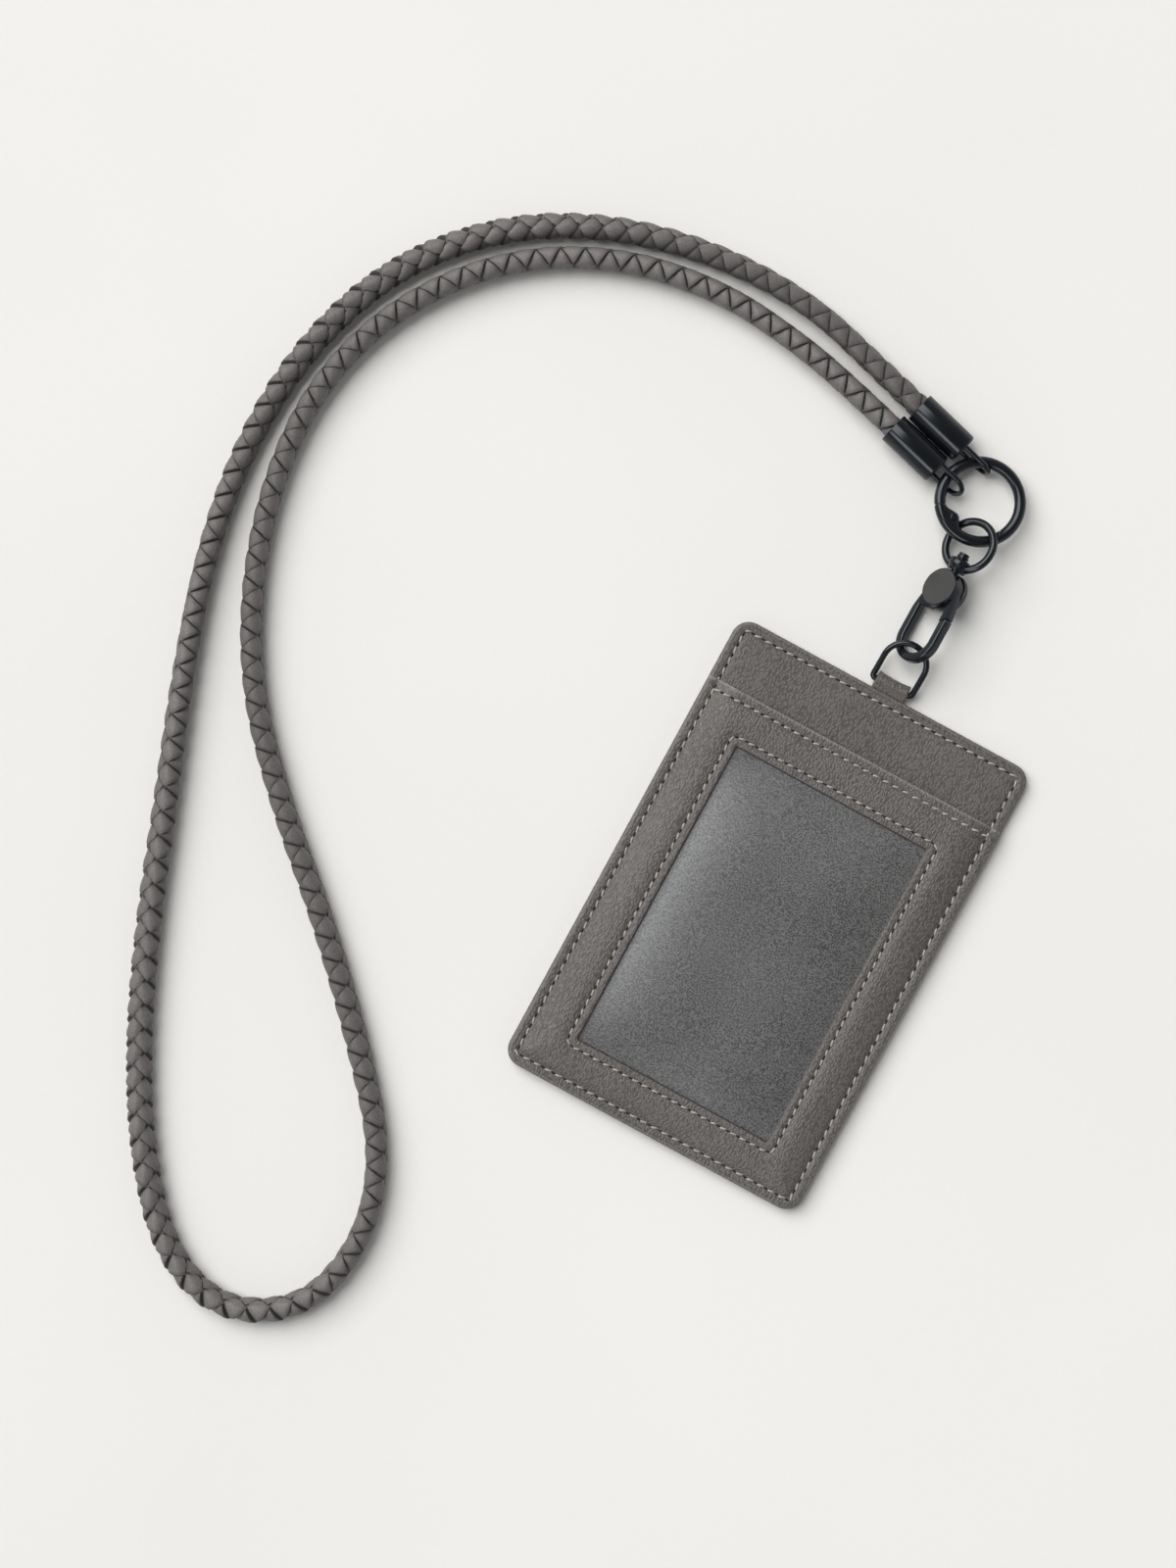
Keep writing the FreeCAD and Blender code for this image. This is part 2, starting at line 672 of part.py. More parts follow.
def make_hook():
    """Frame, gate, discs, pin, spring and swivel post of the hook."""
    overrun = size("cut_overrun")
    deep = "sizes.link_thickness + 2 * sizes.cut_overrun"
    low = link_floor - overrun
    blank = make_link_blank()
    gap_angle = math.degrees(size("gate_gap") / (size("drum_core_diameter") / 2))
    free_start = -size("gate_bottom") - size("gate_swing") - 2 * gap_angle
    free_sweep = size("gate_top") + gap_angle - free_start
    room = turned("gate_room", "sizes.gate_reach + sizes.gate_gap", deep, low, free_start, str(free_sweep))
    seat = cylinder("gate_seat", "sizes.gate_eye_diameter / 2 + sizes.gate_gap", deep, (0, 0, low))
    post_hole = cylinder("post_hole", "sizes.post_diameter / 2", "sizes.drum_core_diameter",
                         rotation=ALONG_Y)
    frame = cut("hook_frame_sharp", blank, [room, seat, post_hole])
    eased = softened("hook_frame_shape", frame, "link_round", bend_edge)
    named(eased, "hook_frame", hook_frame_place)

    blank_for_gate = make_copy("gate_blank", blank)
    sector = turned("gate_sector", "sizes.gate_reach", gate_height, gate_floor, -size("gate_bottom"),
                    "sizes.gate_bottom + sizes.gate_top")
    arm = doc.addObject("Part::Common", "gate_arm")
    arm.Base = blank_for_gate
    arm.Tool = sector
    eye = cylinder("gate_eye", "sizes.gate_eye_diameter / 2", gate_height, (0, 0, gate_floor))
    pin_hole = cylinder("gate_pin_hole", "sizes.gate_pin_diameter / 2 + sizes.running_gap", deep,
                        (0, 0, low))
    spring_seat = cylinder("gate_spring_seat", "sizes.gate_spring_diameter / 2 + sizes.board_clearance",
                           "sizes.gate_spring_height + sizes.board_clearance + sizes.cut_overrun",
                           (0, 0, gate_floor - overrun))
    gate = cut("hook_gate_shape", fuse("gate_whole", [arm, eye]), [pin_hole, spring_seat])
    named(gate, "hook_gate", hook_frame_place)

    disc_radius = "sizes.drum_diameter / 2"
    front = cylinder("front_disc_blank", disc_radius, "sizes.disc_thickness", (0, 0, -link_floor))
    named(rounded("front_disc_round", front, "disc_round"), "hook_front_disc", hook_frame_place)
    back_floor = link_floor - size("disc_thickness")
    back = cylinder("back_disc_blank", disc_radius, "sizes.disc_thickness", (0, 0, back_floor))
    pin_length = "sizes.link_thickness + sizes.disc_thickness"
    pin_seat = cylinder("pin_seat", "sizes.gate_pin_diameter / 2", pin_length, (0, 0, back_floor))
    back_disc = cut("back_disc_shape", rounded("back_disc_round", back, "disc_round"), [pin_seat])
    named(back_disc, "hook_back_disc", hook_frame_place)
    pin = cylinder("hook_pin", "sizes.gate_pin_diameter / 2", pin_length)
    named(pin, "hook_pivot_pin", hook_frame_place * Placement(Vector(0, 0, back_floor), Rotation()))

    coil = cylinder("spring_outer", "sizes.gate_spring_diameter / 2", "sizes.gate_spring_height",
                    (0, 0, link_floor))
    core = cylinder("spring_inner", "sizes.gate_spring_diameter / 2 - sizes.gate_spring_wire", deep,
                    (0, 0, low))
    named(cut("spring_shape", coil, [core]), "hook_gate_spring", hook_frame_place)


# Swivel: a post riveted into the hook and an eye that turns on it

boss_y = drum_place.y + size("drum_diameter") / 2 + size("swivel_gap")
eye_place = Vector(0, boss_y + size("eye_wire") / 2 + size("eye_radius"), size("hook_lift"))


def make_swivel():
    """Swivel post with its head, and the round eye with a bored boss."""
    root_y = drum_place.y + size("gate_eye_diameter") / 2 + size("gate_gap")
    head_y = boss_y + size("boss_length") + size("swivel_gap")
    shank = cylinder("post_shank", "sizes.post_diameter / 2", str(head_y - root_y), rotation=ALONG_Y)
    head = cylinder("post_head", "sizes.post_head_diameter / 2", "sizes.post_head_height",
                    (0, head_y - root_y, 0), ALONG_Y)
    post = fuse("post_shape", [shank, rounded("post_head_round", head, "disc_round")])
    named(post, "swivel_post", Placement(Vector(0, root_y, size("hook_lift")), Rotation()))

    ring = torus("eye_ring", "sizes.eye_radius", "sizes.eye_wire", 360)
    drop = boss_y - eye_place.y
    boss = cylinder("eye_boss", "sizes.boss_diameter / 2", "sizes.boss_length", (0, drop, 0), ALONG_Y)
    bore = cylinder("eye_bore", "sizes.post_diameter / 2 + sizes.running_gap",
                    "sizes.boss_length + 2 * sizes.cut_overrun", (0, drop - size("cut_overrun"), 0),
                    ALONG_Y)
    eye = cut("eye_shape", fuse("eye_whole", [ring, boss]), [bore])
    named(eye, "swivel_eye", Placement(eye_place, Rotation(Y_AXIS, -size("eye_roll"))))


# Round gate ring, drawn flat about its middle and then pitched

ring_place = Vector(-size("ring_left"), eye_place.y + size("ring_reach"), size("ring_lift"))
ring_turn = Rotation(X_AXIS, -size("ring_pitch"))
ring_frame = Placement(ring_place, ring_turn)


def polar(radius, degrees):
    """Point in the ring's plane."""
    return Vector(math.cos(math.radians(degrees)), math.sin(math.radians(degrees)), 0) * radius


rivet_place = polar(size("ring_radius") - size("rivet_radius_in"), size("rivet_angle"))


def make_gate_ring():
    """Ring body with its hinge tongue, the gate on its rivet, and the gate's spring."""
    ring = "sizes.ring_radius"
    wire = "sizes.ring_wire"
    half_wire = size("ring_wire") / 2
    gap_angle = math.degrees(size("ring_gate_gap") / size("ring_radius"))
    start = size("ring_gate_start")
    nose = size("ring_nose")
    seam = polar(size("ring_radius"), size("ring_gate_end"))
    swing = (seam - rivet_place).Length
    tall = "sizes.ring_wire + 2 * sizes.cut_overrun"
    low = -half_wire - size("cut_overrun")
    slot_height = size("tongue_thickness") + size("ring_spring_height") + 3 * size("running_gap")
    tongue_floor = size("running_gap") - slot_height / 2
    spring_floor = tongue_floor + size("tongue_thickness") + size("running_gap")

    main = torus("ring_main", ring, wire, 360 - nose + start, nose)
    beak = torus("ring_beak", ring, wire, nose - size("rivet_angle"), size("rivet_angle"))
    sweep_room = cylinder("ring_sweep_room", str(swing + size("ring_gate_gap") / 2), tall,
                          (rivet_place.x, rivet_place.y, low))
    beak_cut = cut("ring_beak_cut", beak, [sweep_room])
    stem = torus("tongue_stem", ring, wire, size("rivet_angle") - start, start - gap_angle)
    slab_side = "2 * (sizes.ring_radius + sizes.ring_wire)"
    corner = -size("ring_radius") - size("ring_wire")
    slab = box("tongue_slab", slab_side, slab_side, "sizes.tongue_thickness",
               (corner, corner, tongue_floor))
    flat_stem = doc.addObject("Part::Common", "tongue_flat")
    flat_stem.Base = stem
    flat_stem.Tool = slab
    lobe = cylinder("tongue_lobe", "sizes.tongue_diameter / 2", "sizes.tongue_thickness",
                    (rivet_place.x, rivet_place.y, tongue_floor))
    rivet_hole = cylinder("tongue_rivet_hole", "sizes.rivet_diameter / 2", tall,
                          (rivet_place.x, rivet_place.y, low))
    body = cut("ring_body_shape", fuse("ring_whole", [main, beak_cut, flat_stem, lobe]), [rivet_hole])
    named(body, "ring_body", ring_frame)

    arc = torus("ring_gate_arc", ring, wire, nose - start - gap_angle, start + gap_angle)
    reach = cylinder("ring_gate_reach", str(swing - size("ring_gate_gap") / 2), tall,
                     (rivet_place.x, rivet_place.y, low))
    shortened = doc.addObject("Part::Common", "ring_gate_short")
    shortened.Base = arc
    shortened.Tool = reach
    half_lug = size("lug_height") / 2
    lug = cylinder("ring_gate_lug", "sizes.lug_diameter / 2", "sizes.lug_height",
                   (rivet_place.x, rivet_place.y, -half_lug))
    slot_round = cylinder("ring_slot_round", "sizes.tongue_diameter / 2 + sizes.ring_gate_gap",
                          str(slot_height), (rivet_place.x, rivet_place.y, -slot_height / 2))
    slot_turn = Rotation(Z_AXIS, size("rivet_angle") - 90)
    back_step = slot_turn.multVec(Vector(0, -size("ring_radius") / 2, 0))
    slot_box = box("ring_slot_box", ring, ring, str(slot_height),
                   (rivet_place.x + back_step.x, rivet_place.y + back_step.y, -slot_height / 2), slot_turn)
    pin_hole = cylinder("gate_rivet_hole", "sizes.rivet_diameter / 2 + sizes.running_gap", tall,
                        (rivet_place.x, rivet_place.y, low))
    gate_blank = fuse("ring_gate_whole", [shortened, lug])
    gate = cut("ring_gate_shape", gate_blank, [slot_round, slot_box, pin_hole])
    named(gate, "ring_gate", ring_frame)

    rivet_frame = ring_frame * Placement(rivet_place, Rotation())
    head_gap = size("running_gap")
    shank = cylinder("rivet_shank", "sizes.rivet_diameter / 2", "sizes.lug_height + 2 * sizes.running_gap",
                     (0, 0, -half_lug - head_gap))
    top = cylinder("rivet_top", "sizes.rivet_head_diameter / 2", "sizes.rivet_head_height",
                   (0, 0, half_lug + head_gap))
    foot = cylinder("rivet_foot", "sizes.rivet_head_diameter / 2", "sizes.rivet_head_height",
                    (0, 0, -half_lug - head_gap - size("rivet_head_height")))
    rivet = fuse("rivet_shape", [shank, top, foot])
    named(rivet, "ring_rivet", rivet_frame)
    coil = cylinder("ring_coil", "sizes.tongue_diameter / 2", "sizes.ring_spring_height",
                    (0, 0, spring_floor))
    core = cylinder("ring_coil_core", "sizes.tongue_diameter / 2 - sizes.ring_spring_wall", tall,
                    (0, 0, low))
    named(cut("ring_coil_shape", coil, [core]), "ring_gate_spring", rivet_frame)


# End caps and their wire eyes, drawn along X from the cap's closed end

cap_turn = Rotation(Z_AXIS, -size("cap_turn"))


def cap_place(name):
    """Middle of a cap's closed end, set off from the middle of the ring."""
    left = size(f"{name}_cap_left")
    up = size(f"{name}_cap_up")
    return Vector(ring_place.x - left, ring_place.y + up, size("cap_lift"))


cap_places = {name: cap_place(name) for name in ("upper", "lower")}


def make_cap(name):
    """One end cap: a cup for the cord's end with a U-shaped wire eye let into its closed end."""
    place = Placement(cap_places[name], cap_turn)
    roll = Rotation(X_AXIS, -size(f"{name}_eye_roll"))
    leg_offset = size("cap_eye_width") / 2
    mouth = -size("cap_length")
    shell = cylinder(f"{name}_cap_shell", "sizes.cap_diameter / 2", "sizes.cap_length",
                     (mouth, 0, 0), ALONG_X)
    bore = cylinder(f"{name}_cap_bore", "sizes.cord_diameter / 2 + sizes.running_gap",
                    "sizes.cap_bore_depth + sizes.cut_overrun", (mouth - size("cut_overrun"), 0, 0),
                    ALONG_X)
    wire = "sizes.cap_eye_wire / 2"
    tools = [bore]
    legs = []
    for side, sign in (("high", 1), ("low", -1)):
        offset = roll.multVec(Vector(-size("cap_eye_inset"), 0, sign * leg_offset))
        tools.append(cylinder(f"{name}_{side}_hole", wire, "sizes.cap_eye_inset + sizes.cut_overrun",
                              tuple(offset), ALONG_X))
        legs.append(cylinder(f"{name}_{side}_leg", wire,
                             f"sizes.cap_eye_inset + sizes.{name}_eye_reach - sizes.cap_eye_width / 2",
                             tuple(offset), ALONG_X))
    cap = cut(f"{name}_cap_shape", rounded(f"{name}_cap_round", shell, "cap_edge_round"), tools)
    named(cap, f"{name}_cap", place)
    arch = torus(f"{name}_eye_arch", "sizes.cap_eye_width / 2", "sizes.cap_eye_wire", 180)
    arch.Placement = Placement(Vector(size(f"{name}_eye_reach") - leg_offset, 0, 0),
                               roll * Rotation(X_AXIS, 90) * Rotation(Z_AXIS, -90))
    named(fuse(f"{name}_eye_shape", legs + [arch]), f"{name}_cap_eye", place)


# Neck cord: a round tube on straight runs joined by tangent arcs

def make_neck_cord():
    """Tube from one cap's bore to the other, lying on the floor between them."""
    inward = cap_turn.multVec(X_AXIS)
    radius = size("cord_diameter") / 2
    seats = {name: cap_places[name] - inward * (size("cap_length") - size("cap_bore_depth"))
             for name in ("upper", "lower")}
    leads = {name: seats[name] - inward * size("cord_lead") for name in ("upper", "lower")}
    floor = radius + size("cord_floor_gap")
    points = [seats["upper"], leads["upper"]]
    points += [Vector(x, y, floor) for x, y in CORD_ROUTE]
    points += [leads["lower"], seats["lower"]]
    edges = []
    radii = []
    place = points[0]
    for before, here, after in zip(points, points[1:], points[2:]):
        arrive = here - before
        leave = after - here
        turn = arrive.getAngle(leave)
        trim = BEND_SHARE * min(arrive.Length, leave.Length)
        radii.append(trim / math.tan(turn / 2))
        arrive.normalize()
        leave.normalize()
        enter = here - arrive * trim
        exit_ = here + leave * trim
        inside = leave - arrive
        inside.normalize()
        middle = here + inside * (radii[-1] / math.cos(turn / 2) - radii[-1])
        edges.append(Part.LineSegment(place, enter).toShape())
        edges.append(Part.Arc(enter, middle, exit_).toShape())
        place = exit_
    edges.append(Part.LineSegment(place, points[-1]).toShape())
    path = Part.Wire(edges)
    section = Part.Wire(Part.makeCircle(radius, points[0], points[1] - points[0]))
    tube = path.makePipeShell([section], True, False)
    expected = math.pi * radius ** 2 * path.Length
    print("cord radii", [round(item, 1) for item in radii])
    print("cord length", round(path.Length, 1), "volume share", round(tube.Volume / expected, 4))
    cord = doc.addObject("Part::Feature", "neck_cord")
    cord.Shape = tube
    return named(cord, "neck_cord")


make_back_panel()
make_stiffener_board()
make_front_panel()
make_pocket_frame()
make_window_film()
make_seams()
make_ring_tab()
make_d_ring()
make_hook()
make_swivel()
make_gate_ring()
for cap_name in ("upper", "lower"):
    make_cap(cap_name)
make_neck_cord()
doc.recompute()

NODES = [
    "back_panel", "stiffener_board", "front_panel", "pocket_frame", "window_film",
    "pocket_rim_thread", "header_rim_thread", "hem_thread", "window_thread", "ring_tab",
    "d_ring",
    "hook_frame", "hook_front_disc", "hook_back_disc", "hook_pivot_pin", "hook_gate_spring",
    "swivel_post", "hook_gate", "swivel_eye",
    "ring_body", "ring_rivet", "ring_gate_spring", "ring_gate",
    "upper_cap", "upper_cap_eye", "lower_cap", "lower_cap_eye", "neck_cord",
]

faults = [item.Name for item in doc.Objects if "Invalid" in item.State or "Error" in item.State]
shapes = {}
for node in NODES:
    shape = doc.getObjectsByLabel(node)[0].Shape
    if shape.isNull() or not shape.isValid() or not shape.Solids:
        faults.append(node)
    shapes[node] = shape
if faults:
    raise RuntimeError(f"faulty objects: {faults}")

os.makedirs("parts", exist_ok=True)
for node, shape in shapes.items():
    shape.exportStep(f"parts/{node}.step")
    print(node, len(shape.Solids), round(shape.Volume, 2), shape.BoundBox)
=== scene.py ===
"""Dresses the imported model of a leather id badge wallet: leather, film, stitches, black hardware, cord.

Shapes are worked out in millimetres in the model's own frame, and turned into metres where a mesh is made.
"""

import json
import logging
import math
import random
from dataclasses import dataclass
from enum import Enum
from typing import Any, Callable, Iterable, Sequence

import bmesh
import bpy
from mathutils import Matrix, Vector


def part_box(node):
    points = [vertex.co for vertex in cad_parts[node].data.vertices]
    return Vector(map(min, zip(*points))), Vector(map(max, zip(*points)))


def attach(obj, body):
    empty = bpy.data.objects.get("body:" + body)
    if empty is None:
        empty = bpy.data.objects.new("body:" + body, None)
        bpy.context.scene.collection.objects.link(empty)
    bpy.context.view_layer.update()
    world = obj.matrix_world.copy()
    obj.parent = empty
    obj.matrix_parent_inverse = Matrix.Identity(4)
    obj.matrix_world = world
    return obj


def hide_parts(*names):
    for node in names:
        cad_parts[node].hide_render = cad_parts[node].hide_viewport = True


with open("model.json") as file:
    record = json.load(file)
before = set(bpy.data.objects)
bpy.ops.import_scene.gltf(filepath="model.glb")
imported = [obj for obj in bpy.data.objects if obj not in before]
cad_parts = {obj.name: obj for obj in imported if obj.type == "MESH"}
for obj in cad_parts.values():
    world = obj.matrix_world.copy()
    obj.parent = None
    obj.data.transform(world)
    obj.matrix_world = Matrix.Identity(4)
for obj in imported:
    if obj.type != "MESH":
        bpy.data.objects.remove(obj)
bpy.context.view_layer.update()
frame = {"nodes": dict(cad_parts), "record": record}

Material = bpy.types.Material
Piece = bpy.types.Object
Socket = bpy.types.NodeSocket
Tree = bpy.types.NodeTree
Mesh = bpy.types.Mesh
Outputs = bpy.types.NodeOutputs
Node = bpy.types.Node
Triple = tuple[float, float, float]
Colour = Triple
Span = tuple[float, float]
Knots = tuple[Span, ...]
Steps = tuple[float, ...]
Ring = list[Vector]
Shares = Sequence[Sequence[float]]

LOG = logging.getLogger("badge_wallet")
MM = 0.001
# Point attribute that carries painted light into leather colour: above 0 a painted highlight, below 0 painted
# shade
PAINTED_LIGHT = "painted_light"
X_AXIS = Vector((1, 0, 0))
Z_AXIS = Vector((0, 0, 1))
UNIT: Span = (0.0, 1.0)
CREASE = 35.0


class Body(Enum):
    """Bodies of the model that pieces ride on."""

    WALLET = "wallet"
    D_RING = "d_ring"
    HOOK = "hook"
    HOOK_GATE = "hook_gate"
    SWIVEL_EYE = "swivel_eye"
    RING = "ring"
    RING_GATE = "ring_gate"
    LANYARD = "lanyard"


class Slot(Enum):
    """Material slots of the record."""

    LEATHER = "wallet_leather"
    CORD = "cord_leather"
    FILM = "film"
    THREAD = "thread"
    METAL = "black_metal"


class Ends(Enum):
    """How the first and last ring of a skin are closed."""

    CAPPED = "capped"
    JOINED = "joined"


class Mark(Enum):
    """What is repeated along a seam."""

    STITCH = "stitch"
    HOLE = "hole"


# Reading the frame


def corners(node: str) -> tuple[Vector, Vector]:
    """Gives the lowest and highest corner of a node's box at rest, in millimetres."""
    low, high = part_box(node)
    return Vector(low) / MM, Vector(high) / MM


def joint(name: str) -> tuple[Vector, Vector]:
    """Gives the place of one of the record's joints, in millimetres, and its unit axis."""
    entry = next(item for item in frame["record"]["behaviour"]["joints"] if item["name"] == name)
    return Vector(entry["pos_m"]) / MM, Vector(entry["axis"]).normalized()


def mount(name: str) -> Vector:
    """Gives the place of one of the record's mounts, in millimetres."""
    entry = next(item for item in frame["record"]["mounts"] if item["name"] == name)
    return Vector(entry["pos_m"]) / MM


def seat(origin: Vector, along_x: Vector, along_z: Vector) -> Matrix:
    """Makes a local frame.

    Args:
        origin: Place of the frame, in millimetres.
        along_x: Direction of its X axis.
        along_z: Direction of its Z axis, square to X.

    Returns:
        Matrix from the local frame to the model's.
    """
    x_axis = along_x.normalized()
    z_axis = along_z.normalized()
    y_axis = z_axis.cross(x_axis)
    turn = Matrix((x_axis, y_axis, z_axis)).transposed().to_4x4()
    return Matrix.Translation(origin) @ turn


# Building meshes


class Skin:
    """Mesh under construction: points in millimetres, joined ring by ring."""

    def __init__(self) -> None:
        """Starts an empty skin."""
        self.points: list[Vector] = []
        self.faces: list[tuple[int, ...]] = []

    def ring(self, points: Iterable[Vector]) -> list[int]:
        """Adds points.

        Args:
            points: Points of one ring, in order.

        Returns:
            Their indices.
        """
        start = len(self.points)
        self.points.extend(points)
        return list(range(start, len(self.points)))

    def bridge(self, first: list[int], second: list[int]) -> None:
        """Joins two rings of the same length by quads.

        Args:
            first: Indices of one ring.
            second: Indices of the other ring.
        """
        count = len(first)
        for here in range(count):
            after = (here + 1) % count
            self.faces.append((first[here], first[after], second[after], second[here]))

    def loft(self, rings: Sequence[Ring], ends: Ends = Ends.CAPPED) -> "Skin":
        """Joins a row of rings into a closed surface.

        Args:
            rings: Rings of points, in order.
            ends: How the row's two ends are closed.

        Returns:
            The skin itself.
        """
        indices = [self.ring(points) for points in rings]
        for first, second in zip(indices, indices[1:]):
            self.bridge(first, second)
        if ends is Ends.JOINED:
            self.bridge(indices[-1], indices[0])
        else:
            self.faces += [tuple(indices[0]), tuple(indices[-1])]
        return self

    def build(self, name: str, *materials: Material, crease: float = CREASE,
              painted_light: Sequence[float] = ()) -> Piece:
        """Makes the mesh object.

        Args:
            name: Name of the object.
            materials: Materials of its slots.
            crease: Angle in degrees above which an edge stays sharp.
            painted_light: Painted light at each point: above 0 for a painted highlight, below 0 for painted
                shade.

        Returns:
            The object, at the origin, in metres.
        """
        mesh = bpy.data.meshes.new(name)
        mesh.from_pydata([point * MM for point in self.points], [], self.faces)
        if painted_light:
            light_paint = mesh.attributes.new(PAINTED_LIGHT, "FLOAT", "POINT")
            light_paint.data.foreach_set("value", painted_light)
        return finished(name, mesh, materials, crease)


def finished(name: str, mesh: Mesh, materials: Sequence[Material], crease: float) -> Piece:
    """Turns a mesh's faces outward, smooths it and links it as an object.

    Args:
        name: Name of the object.
        mesh: Mesh in metres.
        materials: Materials of its slots.
        crease: Angle in degrees above which an edge stays sharp.

    Returns:
        The object.
    """
    work = bmesh.new()
    work.from_mesh(mesh)
    bmesh.ops.recalc_face_normals(work, faces=work.faces)
    work.to_mesh(mesh)
    work.free()
    mesh.polygons.foreach_set("use_smooth", [True] * len(mesh.polygons))
    mesh.set_sharp_from_angle(angle=math.radians(crease))
    mesh.materials.clear()
    for material in materials:
        mesh.materials.append(material)
    piece = bpy.data.objects.new(name, mesh)
    bpy.context.scene.collection.objects.link(piece)
    return piece


def baked(name: str, data: bpy.types.ID, kind: str = "", inputs: dict[str, Any] | None = None,
          **settings: Any) -> Mesh:
    """Gives the plain mesh that a mesh or curve becomes once a modifier shapes it.

    Args:
        name: Name of the object that carries it for the while.
        data: Mesh or curve.
        kind: Blender's name of the modifier type, or nothing.
        inputs: Values for the inputs of the modifier's node group, by name.
        settings: Properties of the modifier.

    Returns:
        The new mesh.
    """
    carrier = bpy.data.objects.new(name, data)
    bpy.context.scene.collection.objects.link(carrier)
    if kind:
        shaper = carrier.modifiers.new(name, kind)
        for key, value in settings.items():
            setattr(shaper, key, value)
        for socket in shaper.node_group.interface.items_tree if inputs else ():
            if socket.name in inputs:
                shaper[socket.identifier] = inputs[socket.name]
    carrier.update_tag()
    shown = carrier.evaluated_get(bpy.context.evaluated_depsgraph_get())
    mesh = bpy.data.meshes.new_from_object(shown)
    bpy.data.objects.remove(carrier)
    return mesh


def lifted(ring: Ring, height: Callable[[Vector], float] | float) -> Ring:
    """Gives a ring's points at one height, or at heights worked out from their places."""
    return [Vector((point.x, point.y, height(point) if callable(height) else height)) for point in ring]


def arc(place: Matrix, radius: float, start: float, stop: float, steps: int) -> Ring:
    """Gives points on an arc in a local frame's XY plane.

    Args:
        place: Local frame at the arc's middle.
        radius: Radius in millimetres.
        start: First angle, in degrees.
        stop: Last angle, in degrees.
        steps: Number of steps between them.

    Returns:
        The points, both ends included.
    """
    points = []
    for step in range(steps + 1):
        angle = math.radians(start + (stop - start) * step / steps)
        points.append(place @ Vector((radius * math.cos(angle), radius * math.sin(angle), 0)))
    return points


def tube(path: Sequence[Vector], radius: float, sides: int, closed: bool) -> list[Ring]:
    """Gives rings of points round a path.

    Args:
        path: Points of the path.
        radius: Radius of the tube.
        sides: Points in each ring.
        closed: True where the path's last point leads back to its first.

    Returns:
        One ring for each point of the path.
    """
    count = len(path)
    rings = []
    normal: Vector | None = None
    for index, point in enumerate(path):
        before = path[index - 1] if closed or index else path[0]
        after = path[(index + 1) % count] if closed or index + 1 < count else path[-1]
        tangent = (after - before).normalized()
        if normal is None:
            normal = tangent.orthogonal()
        normal = (normal - tangent * normal.dot(tangent)).normalized()
        across = tangent.cross(normal)
        rings.append([point + (normal * math.cos(turn) + across * math.sin(turn)) * radius
                      for turn in (math.tau * side / sides for side in range(sides))])
    return rings


def turned(place: Matrix, profile: Sequence[Span], sides: int = 48) -> list[Ring]:
    """Gives the rings of a shape turned about a frame's Z axis, from pairs of radius and height."""
    return [arc(place @ Matrix.Translation((0, 0, height)), radius, 0, 360 - 360 / sides, sides - 1)
            for radius, height in profile]


def settle(piece: Piece, body: Body, slot: Slot, *nodes: str) -> Piece:
    """Makes a piece ride on its body and stand for nodes.

    Args:
        piece: Object to settle.
        body: Body that carries it.
        slot: Material slot of the record; not used.
        nodes: Nodes that it replaces.

    Returns:
        The same object.
    """
    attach(piece, body.value)
    if nodes:
        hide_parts(*nodes)
    LOG.info("%s rides on %s with %d faces", piece.name, body.value, len(piece.data.polygons))
    return piece


def cast(name: str, rings: Sequence[Ring], material: Material, body: Body, *nodes: str,
         ends: Ends = Ends.CAPPED, crease: float = CREASE) -> Piece:
    """Makes a metal piece of one row of rings and settles it."""
    return settle(Skin().loft(rings, ends).build(name, material, crease=crease), body, Slot.METAL, *nodes)


# Materials


class NodeSketch:
    """Short way to add nodes to a tree and join them."""

    def __init__(self, tree: Tree) -> None:
        """Keeps the tree to draw in."""
        self.tree = tree

    def add(self, kind: str, inputs: dict[Any, Any] | None = None, **settings: Any) -> Node:
        """Adds one node.

        Args:
            kind: Blender's name of the node type.
            inputs: Values or sockets for its inputs, by name or number.
            settings: Properties of the node.

        Returns:
            The node.
        """
        node = self.tree.nodes.new(kind)
        for key, value in settings.items():
            setattr(node, key, value)
        for key, value in (inputs or {}).items():
            if isinstance(value, Socket):
                self.tree.links.new(value, node.inputs[key])
            else:
                node.inputs[key].default_value = value
        return node

    def math(self, operation: str, first: Any, second: Any) -> Socket:
        """Adds a math node with two inputs and gives its output."""
        return self.add("ShaderNodeMath", {0: first, 1: second}, operation=operation).outputs[0]

    def vector(self, operation: str, first: Any, second: Any, port: int | str = 1) -> Socket:
        """Adds a vector math node, whose second value goes in at a port, and gives its output."""
        return self.add("ShaderNodeVectorMath", {0: first, port: second}, operation=operation).outputs[0]

    def mix(self, factor: Any, first: Any, second: Any) -> Socket:
        """Adds a mix of two colours and gives its output."""
        return self.add("ShaderNodeMix", {0: factor, 6: first, 7: second}, data_type="RGBA").outputs[2]

    def spread(self, value: Any, source: Span, target: Span = UNIT) -> Socket:
        """Adds a clamped map from one span of values to another and gives its output."""
        inputs = {0: value, 1: source[0], 2: source[1], 3: target[0], 4: target[1]}
        return self.add("ShaderNodeMapRange", inputs).outputs[0]

    def noise(self, place: Any, scale: Any, **inputs: float) -> Outputs:
        """Adds a noise texture and gives its outputs."""
        return self.add("ShaderNodeTexNoise", {"Vector": place, "Scale": scale, **inputs}).outputs


def sockets(tree: Tree, way: str, kind: str, *names: str) -> None:
    """Adds sockets of one kind to a node group's interface, in order."""
    for name in names:
        tree.interface.new_socket(name, in_out=way, socket_type=f"NodeSocket{kind}")


def full(colour: Colour) -> tuple[float, float, float, float]:
    """Adds an alpha of 1 to a linear colour."""
    return (*colour, 1.0)


# Values of a noise texture between which nearly all of it lies
NOISE_SPAN: Span = (0.3, 0.7)
# Grain's parts, as shares of its scale: bending of the cells, pores, and broad patches of tone
BEND_SCALE, PORE_SCALE, PATCH_SCALE = 0.45, 2.4, 0.035
